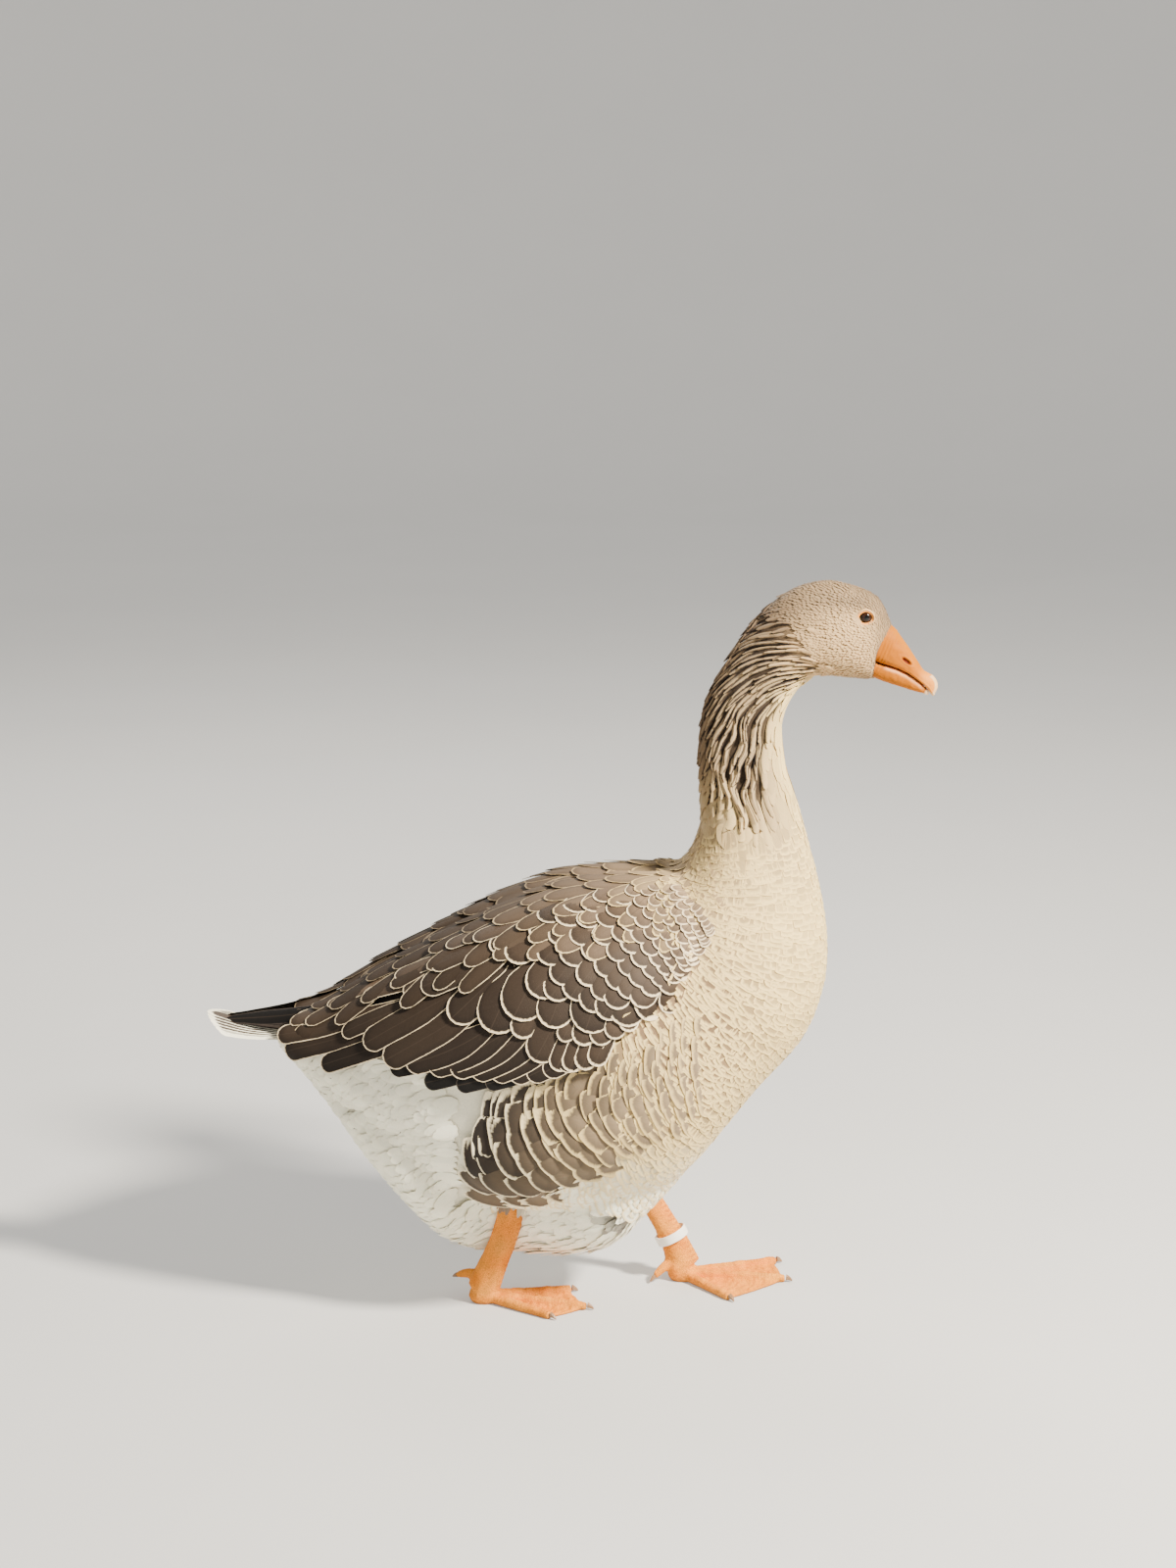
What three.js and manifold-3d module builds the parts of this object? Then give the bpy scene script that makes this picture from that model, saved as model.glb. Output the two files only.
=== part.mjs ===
// Domestic grey goose (greylag type), life size, walking, as a still museum model.
// Millimetres. +X towards the bill, +Y to the bird's left, +Z up, soles on Z = 0.
// The bird is described by a few lofts: one runs from the tail root over the trunk,
// up the neck and out to the face, others make the paunch, tail, bill, legs and toes.
// Feathered parts are given at the outline of the plumage.
import * as THREE from "three";
import { mergeVertices } from "three/addons/utils/BufferGeometryUtils.js";
import Module from "manifold-3d";

const wasm = await Module();
wasm.setup();

// ---------------------------------------------------------------- sizes
const GAP = 0.3; // clearance between neighbouring pieces
const WING_DEPTH = 9; // how deep the folded wing lies over the flank
const WING_SPINE_GAP = 9; // folded wings stop this far from the midline
const EYE_R = 7.4; // eyeball radius
const EYE_AT = [239.3, 16.9, 620.5]; // centre of the left eyeball
const TAIL_LENGTH = 64; // beyond the tail root
const TAIL_HALF_WIDTH = 47;
const TOE_R = 5.9; // half width of a front toe at its root
const WEB_THICKNESS = 2.4;
const CLAW_LENGTH = 6;
const RING_INNER_R = 13.4;
const RING_OUTER_R = 15.2;
const RING_HEIGHT = 8.5;

// Sections of the trunk, neck and head. back = [x, z] on the upper outline,
// front = [x, z] on the lower outline, half = half width, low = how much fuller
// the section is below its middle, square = how far its corners fill out.
const SECTIONS = [
  { name: "tail_root", back: [-275, 258], front: [-276, 236], half: 27, low: 0.0, square: 0.0 },
  { name: "rump", back: [-236, 270], front: [-243, 200], half: 54, low: 0.1, square: 0.05 },
  { name: "vent", back: [-184, 303], front: [-200, 164], half: 84, low: 0.08, square: 0.08 },
  { name: "loin", back: [-131, 333], front: [-150, 122], half: 105, low: 0.04, square: 0.12 },
  { name: "thigh", back: [-79, 359], front: [-98, 94], half: 118, low: 0.0, square: 0.14 },
  { name: "girth", back: [-26, 380], front: [-36, 86], half: 123, low: 0.0, square: 0.14 },
  { name: "shoulder", back: [26, 387], front: [35, 92], half: 121, low: 0.02, square: 0.12 },
  { name: "keel", back: [64, 390.5], front: [88, 123], half: 112, low: 0.07, square: 0.1 },
  { name: "crop", back: [86, 404], front: [149, 195], half: 99, low: 0.06, square: 0.06 },
  { name: "breast", back: [95, 422], front: [191, 242], half: 84, low: 0.04, square: 0.04 },
  { name: "breast_top", back: [98, 438], front: [209, 288], half: 71, low: 0.02, square: 0.02 },
  { name: "neck_root", back: [98.5, 456], front: [212, 328], half: 60, low: 0, square: 0 },
  { name: "neck_low", back: [97.5, 474], front: [206, 372], half: 50.5, low: 0, square: 0 },
  { name: "neck_a", back: [96.5, 491], front: [195, 416], half: 42.5, low: 0, square: 0 },
  { name: "neck_b", back: [97, 509], front: [182.5, 460], half: 36.5, low: 0, square: 0 },
  { name: "neck_c", back: [99, 526], front: [173.5, 491], half: 32, low: 0, square: 0 },
  { name: "neck_d", back: [103, 545], front: [170.5, 518], half: 29, low: 0, square: 0 },
  { name: "neck_e", back: [112.5, 566], front: [174.5, 538], half: 27.5, low: 0, square: 0 },
  { name: "nape", back: [125.5, 588.5], front: [185, 555], half: 27.5, low: 0, square: 0 },
  { name: "head_back", back: [143, 613], front: [196.5, 564.5], half: 29, low: 0.05, square: 0.02 },
  { name: "ear", back: [161.5, 632.5], front: [209, 566.5], half: 30.5, low: 0.1, square: 0.04 },
  { name: "cheek", back: [182.5, 645.5], front: [223.5, 565], half: 31.5, low: 0.12, square: 0.05 },
  { name: "crown", back: [208, 650.5], front: [237.5, 563.5], half: 30.5, low: 0.12, square: 0.05 },
  { name: "eye", back: [231, 646], front: [246, 562.5], half: 26.5, low: 0.1, square: 0.05 },
  { name: "lore", back: [252.5, 635.5], front: [250.8, 561.8], half: 20.5, low: 0.05, square: 0.05 },
  { name: "face", back: [265.5, 609.5], front: [252.3, 562.2], half: 15.2, low: 0.0, square: 0.05 },
];
const BODY_RINGS = 50;
const BODY_SIDES = 20;
const FACE_HOLLOW = 9; // how far the edge of the face runs back at the gape
// Where the whole is parted: between these sections.
const CUTS = { neck_lower_from: 10.6, neck_upper_from: 14.6, head_from: 18.7 };

// Paunch that hangs between the legs: x, lowest z, half width.
const PAUNCH = [
  { x: -262, z: 220, half: 16 },
  { x: -244, z: 198, half: 36 },
  { x: -226, z: 177, half: 54 },
  { x: -196, z: 133, half: 74 },
  { x: -166, z: 95, half: 84 },
  { x: -137, z: 62, half: 78 },
  { x: -112, z: 46.5, half: 62 },
  { x: -85, z: 40.5, half: 47 },
  { x: -58, z: 39, half: 47 },
  { x: -30, z: 38, half: 60 },
  { x: 2, z: 41, half: 73 },
  { x: 30, z: 54, half: 75 },
  { x: 58, z: 84, half: 66 },
  { x: 88, z: 118, half: 50 },
  { x: 114, z: 148, half: 26 },
];
const PAUNCH_TOP = [236, 190]; // at its rear end, and from half way on

// Flank: the pad of barred feathers over the thigh, from its round rear lobe forward.
// [x, y, z, half height, half thickness]
const FLANK = [
  [-110, 76, 150, 3, 3], [-106, 78, 153, 20, 20], [-94, 80, 158, 37, 33], [-64, 81, 167, 51, 43], [-20, 82, 182, 54, 45],
  [32, 80, 201, 47, 40], [70, 72, 216, 33, 30], [96, 60, 227, 17, 18], [108, 54, 232, 3, 3],
];

// Outline of the folded wing from the side.
const WING_OUTLINE = [
  [72, 402], [86, 376], [90, 349], [85, 325], [74, 305], [50, 291], [19, 274], [-3, 254],
  [-27, 243], [-51, 231], [-102, 226], [-144, 229], [-169, 239], [-216, 237], [-250, 243],
  [-266, 254], [-272, 268], [-262, 300], [-219, 330], [-168, 360], [-80, 385], [20, 410],
];
// Primary feathers that reach past the folded wing over the tail: [x, y, z, half width]
const PRIMARIES = [
  [-205, 34, 275, 14], [-240, 24, 268, 13], [-272, 14.5, 261.5, 10], [-300, 9, 258, 7], [-322, 6.5, 256, 3],
];
const PRIMARY_THICKNESS = 4.4;

// ---------------------------------------------------------------- helpers
const V = (x, y, z) => new THREE.Vector3(x, y, z);

function toSolid(geometry) {
  const g = (geometry.index ? geometry.toNonIndexed() : geometry).clone();
  g.deleteAttribute("normal");
  g.deleteAttribute("uv");
  const merged = mergeVertices(g, 1e-3);
  const positions = merged.attributes.position.array;
  const keep = [];
  const index = merged.index.array;
  for (let i = 0; i < index.length; i += 3)
    if (index[i] !== index[i + 1] && index[i + 1] !== index[i + 2] && index[i] !== index[i + 2])
      keep.push(index[i], index[i + 1], index[i + 2]);
  const build = (tris) =>
    new wasm.Manifold(
      new wasm.Mesh({ numProp: 3, vertProperties: new Float32Array(positions), triVerts: new Uint32Array(tris) }),
    );
  let solid = build(keep);
  if (solid.volume() < 0) {
    for (let i = 0; i < keep.length; i += 3) [keep[i + 1], keep[i + 2]] = [keep[i + 2], keep[i + 1]];
    solid = build(keep);
  }
  return solid;
}

function toGeometry(solid) {
  const m = solid.getMesh();
  const v = new Float32Array(m.numVert * 3);
  for (let i = 0; i < m.numVert; i++)
    v.set(m.vertProperties.subarray(i * m.numProp, i * m.numProp + 3), i * 3);
  const g = new THREE.BufferGeometry()
    .setAttribute("position", new THREE.BufferAttribute(v, 3))
    .setIndex(new THREE.BufferAttribute(new Uint32Array(m.triVerts), 1));
  g.computeVertexNormals();
  return g;
}

// A unit cylinder whose points are laid where place(along, angle, share of radius) says.
function loft(sides, rings, place) {
  const g = new THREE.CylinderGeometry(1, 1, 1, sides, rings);
  const p = g.attributes.position;
  for (let i = 0; i < p.count; i++) {
    const r = Math.min(1, Math.hypot(p.getX(i), p.getZ(i)));
    const angle = Math.round((Math.atan2(p.getX(i), p.getZ(i)) / (2 * Math.PI)) * sides) * ((2 * Math.PI) / sides);
    const q = place(p.getY(i) + 0.5, angle, r < 0.5 ? 0 : 1);
    p.setXYZ(i, q.x, q.y, q.z);
  }
  return toSolid(g);
}

function ellipsoid(at, r, wide = 14, high = 8) {
  const g = new THREE.SphereGeometry(1, wide, high);
  g.scale(r[0], r[1], r[2]).translate(at[0], at[1], at[2]);
  return toSolid(g);
}

// Smooth curves through rows of numbers, read by a share from 0 to 1.
function curveOf(rows) {
  const curve = new THREE.CatmullRomCurve3(rows.map((r) => V(r[0], r[1], r[2])), false, "catmullrom", 0.5);
  return (t) => curve.getPoint(Math.min(1, Math.max(0, t)));
}

function box(size, at, turn = 0) {
  const g = new THREE.BoxGeometry(...size);
  g.rotateY(turn).translate(...at);
  return toSolid(g);
}

// A plate from a closed side outline, from y0 to y1.
function sidePlate(outline, y0, y1, grow = 0) {
  const points = new THREE.CatmullRomCurve3(outline.map(([x, z]) => V(x, z, 0)), true).getPoints(36).slice(0, 36);
  const n = points.length;
  const moved = points.map((p, i) => {
    const along = points[(i + 1) % n].clone().sub(points[(i + n - 1) % n]).normalize();
    return new THREE.Vector2(p.x + along.y * grow * turn, p.y - along.x * grow * turn);
  });
  const g = new THREE.ExtrudeGeometry(new THREE.Shape(moved), { depth: y1 - y0, bevelEnabled: false });
  g.rotateX(Math.PI / 2).translate(0, y1, 0);
  return toSolid(g);
}
const turn = THREE.ShapeUtils.isClockWise(WING_OUTLINE.map(([x, z]) => new THREE.Vector2(x, z))) ? -1 : 1;

// A bent tube of oval section: rows [x, y, z], radii [fore and aft, sideways].
function limb(path, radii, sides, rings, grow = 0) {
  const at = curveOf(path);
  const size = curveOf(radii.map(([a, b]) => [a, b, 0]));
  return loft(sides, rings, (s, angle, r) => {
    const here = at(s);
    const along = at(Math.min(1, s + 0.01)).sub(at(Math.max(0, s - 0.01))).normalize();
    const side = V(0, 1, 0).sub(along.clone().multiplyScalar(along.y)).normalize();
    const fore = side.clone().cross(along);
    const k = size(s);
    here.addScaledVector(along, s === 0 ? -grow : s === 1 ? grow : 0);
    return here
      .addScaledVector(fore, r * (k.x + grow) * Math.cos(angle))
      .addScaledVector(side, r * (k.y + grow) * Math.sin(angle));
  });
}

// ---------------------------------------------------------------- body
// The bill points down and forward; its frame starts at the gape.
const GAPE = V(253.0, 0, 578.4);
const DOWN = THREE.MathUtils.degToRad(29);
const ALONG = V(Math.cos(DOWN), 0, -Math.sin(DOWN));
const UP = V(Math.sin(DOWN), 0, Math.cos(DOWN));
const backLine = curveOf(SECTIONS.map((s) => [s.back[0], 0, s.back[1]]));
const frontLine = curveOf(SECTIONS.map((s) => [s.front[0], 0, s.front[1]]));
const girth = curveOf(SECTIONS.map((s) => [s.half, s.low * 100, s.square * 100]));

function bodyPoint(s, angle, r, grow) {
  const back = backLine(s);
  const front = frontLine(s);
  const middle = back.clone().add(front).multiplyScalar(0.5);
  const up = back.sub(front).multiplyScalar(0.5);
  const { x: half, y: low, z: square } = girth(s);
  const power = 1 - square / 100;
  const c = Math.cos(angle);
  const w = Math.sin(angle);
  const cc = Math.sign(c) * Math.abs(c) ** power;
  const ww = Math.sign(w) * Math.abs(w) ** power * (1 - (low / 100) * cc);
  const height = up.length();
  // the feathered edge of the face runs back towards the gape
  const nearFace = Math.max(0, (s - 0.93) / 0.07) ** 2;
  const hollow = nearFace * FACE_HOLLOW * (r ? Math.abs(w) ** 1.2 * (1 - 0.55 * c) : 0.5);
  return middle
    .addScaledVector(up, (r * cc * (height + grow)) / height)
    .addScaledVector(V(0, 1, 0), r * ww * (half + grow))
    .addScaledVector(ALONG, -hollow);
}

function bodyLoft(grow) {
  return loft(BODY_SIDES, BODY_RINGS, (s, angle, r) => {
    const p = bodyPoint(s, angle, r, grow);
    if (s === 0) p.x -= grow;
    if (s === 1) p.x += Math.max(0, grow) * 0.9;
    return p;
  });
}

function paunchLoft(grow) {
  const line = curveOf(PAUNCH.map((p) => [p.x, p.z, p.half]));
  return loft(14, 14, (s, angle, r) => {
    const { x, y: z, z: half } = line(s);
    const top = PAUNCH_TOP[1] + (PAUNCH_TOP[0] - PAUNCH_TOP[1]) * Math.max(0, 1 - 2.4 * s);
    const high = (top - z) / 2;
    return V(x, r * (half + grow) * Math.sin(angle), z + high + r * (high + grow) * Math.cos(angle));
  });
}

const whole = bodyLoft(0).add(paunchLoft(0));
const wholeGrown = bodyLoft(GAP).add(paunchLoft(GAP));

function wingCore(side, grow) {
  // the part of the plumage that is wing, its inner face WING_DEPTH inside the outline
  const y0 = WING_SPINE_GAP - grow;
  const prism = side < 0 ? sidePlate(WING_OUTLINE, -170, -y0, grow) : sidePlate(WING_OUTLINE, y0, 170, grow);
  const shell = bodyLoft(grow ? 3 : 0).subtract(bodyLoft(-WING_DEPTH - grow));
  return shell.intersect(prism);
}

function primaries(side, grow) {
  const at = curveOf(PRIMARIES.map(([x, y, z]) => [x, side * y, z]));
  const wide = curveOf(PRIMARIES.map((p) => [p[3], 0, 0]));
  return loft(8, 6, (s, angle, r) => {
    const here = at(s);
    const width = wide(s).x + grow;
    const tilt = V(0, side * 0.72, -0.69); // the feathers slope down and outwards
    const flat = V(0, side * 0.69, 0.72);
    if (s === 1) here.x -= grow;
    return here
      .addScaledVector(tilt, r * width * Math.cos(angle))
      .addScaledVector(flat, r * (PRIMARY_THICKNESS / 2 + grow) * Math.sin(angle));
  });
}

function biggest(solid) {
  return solid.decompose().sort((a, b) => b.volume() - a.volume())[0];
}

function tail(grow) {
  const x0 = SECTIONS[0].back[0];
  return loft(12, 6, (s, angle, r) => {
    const x = x0 - GAP + 0.5 - s * TAIL_LENGTH;
    const spread = 27 + (TAIL_HALF_WIDTH - 27) * Math.sin((Math.min(1, s * 1.15) * Math.PI) / 2);
    const round = Math.sqrt(Math.max(0, 1 - Math.max(0, (s - 0.45) / 0.55) ** 2.2)); // rounded end of the fan
    const width = (s > 0.45 ? spread * (0.3 + 0.7 * round) : spread) + grow;
    const high = 9.5 * (1 - s) ** 0.9 + 2.2 + grow;
    const y = r * width * Math.sin(angle);
    const arch = -0.0022 * y * y * s; // the fan is slightly arched
    return V(x, y, 246.5 + 8.5 * s + arch + r * high * Math.cos(angle));
  });
}

// ---------------------------------------------------------------- bill, in its own frame
const inBill = (a, y, n) => GAPE.clone().addScaledVector(ALONG, a).addScaledVector(UP, n).setY(y);
// a = distance from the gape; top and mouth line over it; half width
const UPPER = [
  { a0: -13, top: 34, mouth: -1, half: 14.4 },
  { a0: -2.2, top: 32.2, mouth: 0, half: 14.2 },
  { a0: 6, top: 28.4, mouth: 1.6, half: 13.6 },
  { a0: 16, top: 23.6, mouth: 3.5, half: 12.6 },
  { a0: 27, top: 17.8, mouth: 4.0, half: 11.4 },
  { a0: 38, top: 12.6, mouth: 2.8, half: 10.4 },
  { a0: 47, top: 12.4, mouth: 1.0, half: 9.4 },
  { a0: 53, top: 9.4, mouth: -1.8, half: 7.2 },
  { a0: 56.6, top: 5.0, mouth: -3.2, half: 3.6 },
];
const LOWER = [
  { a0: -12.0, top: -1.6, low: -12.6, half: 13.8 },
  { a0: -1.0, top: -0.6, low: -13.6, half: 13.2 },
  { a0: 8, top: 1.3, low: -13.2, half: 12.4 },
  { a0: 18, top: 3.1, low: -11.6, half: 11.4 },
  { a0: 28, top: 3.4, low: -9.6, half: 10.2 },
  { a0: 38, top: 2.2, low: -7.6, half: 9.2 },
  { a0: 47, top: 0.3, low: -5.4, half: 7.6 },
  { a0: 52, top: -2.3, low: -4.6, half: 4.6 },
];

function billUpper() {
  const line = curveOf(UPPER.map((u) => [u.a0, u.top, u.mouth]));
  const width = curveOf(UPPER.map((u) => [u.half, 0, 0]));
  return loft(14, 10, (s, angle, r) => {
    const { x: a, y: top, z: mouth } = line(s);
    const c = Math.cos(angle);
    const high = (top - mouth) / 2;
    // flat below, arched above; the base leans back to follow the face
    const n = mouth + high + high * r * (c < -0.4 ? -0.4 - (-0.4 - c) * 1.0 : c);
    const flare = 1 - 0.3 * Math.max(0, c) ** 1.5;
    return inBill(a, r * width(s).x * flare * Math.sin(angle), n);
  });
}

function billLower() {
  const line = curveOf(LOWER.map((u) => [u.a0, u.top, u.low]));
  const width = curveOf(LOWER.map((u) => [u.half, 0, 0]));
  return loft(12, 8, (s, angle, r) => {
    const { x: a, y: top, z: low } = line(s);
    const c = Math.cos(angle);
    const high = (top - GAP - low) / 2;
    const n = low + high + high * r * c;
    const narrow = 1 - 0.35 * Math.max(0, -c);
    return inBill(a, r * width(s).x * narrow * Math.sin(angle), n);
  });
}

// ---------------------------------------------------------------- legs and feet
// side -1 is the right leg, which is behind; side +1 the left leg, stepping out.
const LEGS = {
  right: {
    side: -1,
    path: [[-62, -44, 118], [-69, -41.5, 92], [-73, -39, 70], [-80, -35.5, 50], [-88, -31, 30], [-94, -27, 12]],
    radii: [[13, 11], [13.4, 10], [12.2, 8.8], [12.2, 8.6], [13.8, 9.4], [14.5, 11]],
    ball: [-93, -26, 6.5],
    ankle: 31,
    toes: [
      { name: "inner", angle: 15, length: 80, joints: 2 },
      { name: "middle", angle: -13.5, length: 94, joints: 3 },
      { name: "outer", angle: -37, length: 74, joints: 4 },
    ],
    hallux: { root: [-102, -22, 24], tip: [-118, -8, 18] },
  },
  left: {
    side: 1,
    path: [[34, 38, 118], [46, 36, 96], [55, 34.5, 78], [66, 33.5, 60], [78, 32, 38], [88, 31, 13]],
    radii: [[12, 11], [12.2, 10], [11, 8.6], [10.6, 8.2], [12.4, 9.2], [15.5, 11]],
    ball: [87, 30, 6.5],
    ankle: 22,
    toes: [
      { name: "inner", angle: -54, length: 68, joints: 2 },
      { name: "middle", angle: -5, length: 93, joints: 3 },
      { name: "outer", angle: 24, length: 95, joints: 4 },
    ],
    hallux: { root: [75, 29, 15], tip: [61, 19, 6.5] },
  },
};
const RING_AT = 0.77; // share of the left leg's path, from the thigh down

function legSolid(leg, grow = 0) {
  return limb(leg.path, leg.radii, 10, 6, grow);
}

function toePath(leg, toe) {
  const a = THREE.MathUtils.degToRad(toe.angle);
  const tip = [leg.ball[0] + toe.length * Math.cos(a), leg.ball[1] + toe.length * Math.sin(a)];
  const at = (k, z) => [leg.ball[0] + (tip[0] - leg.ball[0]) * k, leg.ball[1] + (tip[1] - leg.ball[1]) * k, z];
  return { tip, a, path: [at(0, 5.6), at(0.3, 4.6), at(0.65, 3.9), at(1, 3.2)] };
}

function footSolid(leg) {
  let foot = ellipsoid(leg.ball, [14.5, 12.5, 11], 12, 6);
  const tips = leg.toes.map((toe) => toePath(leg, toe));
  leg.toes.forEach((toe, i) => {
    const { path } = tips[i];
    const swell = [];
    for (let k = 0; k <= toe.joints; k++) {
      const share = k / toe.joints;
      const r = TOE_R * (1 - 0.34 * share) * (k % 2 ? 0.95 : 1.05);
      swell.push([r, r]);
    }
    foot = foot.add(limb(path, swell, 6, toe.joints + 1));
  });
  // webs: from the ball out along each toe, scalloped between the tips
  const web = new THREE.Shape();
  web.moveTo(leg.ball[0], leg.ball[1]);
  tips.forEach(({ tip }, i) => {
    const reach = (k) => [leg.ball[0] + (tip[0] - leg.ball[0]) * k, leg.ball[1] + (tip[1] - leg.ball[1]) * k];
    if (i === 0) web.lineTo(...reach(0.97));
    else {
      const last = tips[i - 1].tip;
      const mid = [(last[0] + tip[0]) / 2, (last[1] + tip[1]) / 2];
      web.quadraticCurveTo(leg.ball[0] + (mid[0] - leg.ball[0]) * 1.02, leg.ball[1] + (mid[1] - leg.ball[1]) * 1.02, ...reach(0.97));
    }
  });
  web.closePath();
  const plate = new THREE.ExtrudeGeometry(web, { depth: WEB_THICKNESS, bevelEnabled: false, curveSegments: 5 });
  foot = foot.add(toSolid(plate));
  const h = leg.hallux;
  foot = foot.add(limb([h.root, [(h.root[0] + h.tip[0]) / 2, (h.root[1] + h.tip[1]) / 2, (h.root[2] + h.tip[2]) / 2 + 1.5], h.tip], [[5.4, 5.4], [4.6, 4.6], [3, 3]], 6, 3));
  foot = foot.add(ellipsoid([h.root[0] + 5, h.root[1] - 2, h.root[2] - 2], [9, 7.5, 7.5], 8, 5));
  return foot.intersect(box([400, 400, 100], [leg.ball[0], leg.ball[1], 50])); // flat soles
}

function claw(root, direction, droop, length, r, grow) {
  const d = V(...direction).normalize();
  const side = V(0, 0, 1).cross(d).normalize();
  const up = d.clone().cross(side).normalize();
  return loft(6, 3, (s, angle, k) => {
    const size = (r + grow) * Math.sqrt(1 - 0.93 * s);
    return V(...root)
      .addScaledVector(d, s * (length + grow) - grow)
      .addScaledVector(up, -droop * s * s)
      .addScaledVector(side, k * size * 0.8 * Math.sin(angle))
      .addScaledVector(up, k * size * Math.cos(angle));
  });
}

// ---------------------------------------------------------------- materials
const material = (color, roughness) => new THREE.MeshStandardMaterial({ color, roughness, metalness: 0 });
const paint = {
  head: material(0xb5a690, 0.85),
  neck: material(0xb0a08c, 0.85),
  trunk: material(0xcabfae, 0.85),
  wing: material(0x54473c, 0.8),
  tail: material(0xe8e4dc, 0.8),
  bill: material(0xf07a1c, 0.45),
  eye: material(0x1d1109, 0.08),
  leg: material(0xee8a52, 0.55),
  claw: material(0xc9b8a4, 0.4),
  ring: material(0xf4f3ee, 0.35),
};

const goose = new THREE.Group();
function add(name, solid, mat) {
  const mesh = new THREE.Mesh(toGeometry(solid), mat);
  mesh.name = name;
  goose.add(mesh);
}

// ---------------------------------------------------------------- assembly
const legCut = { right: legSolid(LEGS.right, GAP), left: legSolid(LEGS.left, GAP) };
const flank = (side, grow) =>
  limb(
    FLANK.map(([x, y, z]) => [x, side * y, z]),
    FLANK.map(([, , , high, thick]) => [high, thick]),
    12,
    9,
    grow,
  );
const wingCut = wingCore(-1, GAP).add(wingCore(1, GAP)).add(primaries(-1, GAP)).add(primaries(1, GAP));

for (const [name, side] of [["wing_right", -1], ["wing_left", 1]]) {
  const tips = primaries(side, 0);
  add(name, biggest(wingCore(side, 0).add(tips)), paint.wing);
}

const flankRoom = (side) => flank(side, GAP).add(flank(side, 0));
let body = whole.subtract(wingCut).subtract(flankRoom(-1)).subtract(flankRoom(1));

// thin cuts between head, neck and trunk
function partingCut(index) {
  const s = index / (SECTIONS.length - 1);
  const a = backLine(s);
  const b = frontLine(s);
  const middle = a.clone().add(b).multiplyScalar(0.5);
  const turnBy = Math.atan2(b.x - a.x, b.z - a.z); // the box's long side lies along back to front
  return box([GAP, 170, a.distanceTo(b) * 1.5 + 40], [middle.x, 0, middle.z], turnBy);
}
body = Object.values(CUTS).reduce((left, index) => left.subtract(partingCut(index)), body);
const pieces = body.decompose().filter((p) => p.volume() > 2000);
const highest = (p) => p.boundingBox().max[2];
pieces.sort((a, b) => highest(a) - highest(b));
const [trunk, neckLower, neckUpper, headWhole] = pieces;
add("trunk", trunk, paint.trunk);
add("neck_lower", neckLower, paint.neck);
add("neck_upper", neckUpper, paint.neck);

let head = headWhole;
for (const side of [-1, 1]) {
  const at = [EYE_AT[0], side * EYE_AT[1], EYE_AT[2]];
  head = head.subtract(ellipsoid(at, [EYE_R + GAP, EYE_R + GAP, EYE_R + GAP]));
  add(side < 0 ? "eye_right" : "eye_left", ellipsoid(at, [EYE_R, EYE_R, EYE_R]), paint.eye);
}
add("head", biggest(head), paint.head);

// the face's plane, moved out by the gap, trims both halves of the bill
const faceTrim = bodyLoft(GAP * 1.5).add(headWhole.translate([GAP * ALONG.x, 0, GAP * ALONG.z])).add(headWhole);
add("bill_upper", biggest(billUpper().subtract(faceTrim)), paint.bill);
add("bill_lower", biggest(billLower().subtract(faceTrim).subtract(billUpper().translate([0, 0, -GAP]))), paint.bill);

add("tail", biggest(tail(0).subtract(wholeGrown).subtract(wingCut)), paint.tail);

for (const [name, leg] of Object.entries(LEGS)) {
  const flankSolid = flank(leg.side, 0).subtract(wingCut);
  add("flank_" + name, biggest(flankSolid.subtract(flankRoom(-leg.side))), paint.trunk);
  const foot = footSolid(leg);
  const limbOnly = legSolid(leg).subtract(wholeGrown).subtract(flankRoom(leg.side));
  // the ankle: the leg ends where the foot begins
  const ankle = box([120, 120, GAP], [leg.ball[0], leg.ball[1], leg.ankle + GAP / 2]);
  const below = box([260, 260, 60], [leg.ball[0], leg.ball[1], leg.ankle - 30]);
  let footWhole = foot.intersect(below).add(legSolid(leg).intersect(below).intersect(box([400, 400, 100], [leg.ball[0], leg.ball[1], 50])));
  footWhole = footWhole.subtract(ankle);
  add("leg_" + name, biggest(limbOnly.subtract(below).subtract(ankle)), paint.leg);
  leg.toes.forEach((toe) => {
    const { tip, a } = toePath(leg, toe);
    const root = [tip[0] + 1.2 * Math.cos(a), tip[1] + 1.2 * Math.sin(a), 4.4];
    const direction = [Math.cos(a), Math.sin(a), -0.1];
    footWhole = footWhole.subtract(claw(root, direction, 2.4, CLAW_LENGTH, 2.9, GAP));
    add(`claw_${name}_${toe.name}`, claw(root, direction, 2.4, CLAW_LENGTH, 2.9, 0), paint.claw);
  });
  const h = leg.hallux;
  const back = [h.tip[0] - h.root[0], h.tip[1] - h.root[1], h.tip[2] - h.root[2]];
  footWhole = footWhole.subtract(claw(h.tip, back, 1.2, 6.5, 2.4, GAP));
  add(`claw_${name}_hind`, claw(h.tip, back, 1.2, 6.5, 2.4, 0), paint.claw);
  add("foot_" + name, biggest(footWhole), paint.leg);
}

// leg ring on the left leg, square to the leg
{
  const profile = [
    [RING_INNER_R, -RING_HEIGHT / 2], [RING_OUTER_R, -RING_HEIGHT / 2],
    [RING_OUTER_R, RING_HEIGHT / 2], [RING_INNER_R, RING_HEIGHT / 2], [RING_INNER_R, -RING_HEIGHT / 2],
  ].map(([r, h]) => new THREE.Vector2(r, h));
  const at = curveOf(LEGS.left.path);
  const here = at(RING_AT);
  const along = at(RING_AT + 0.02).sub(at(RING_AT - 0.02)).normalize();
  const ring = new THREE.LatheGeometry(profile, 18);
  ring.applyQuaternion(new THREE.Quaternion().setFromUnitVectors(V(0, 1, 0), along.negate()));
  ring.translate(here.x, here.y, here.z);
  add("leg_ring", toSolid(ring), paint.ring);
}

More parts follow.
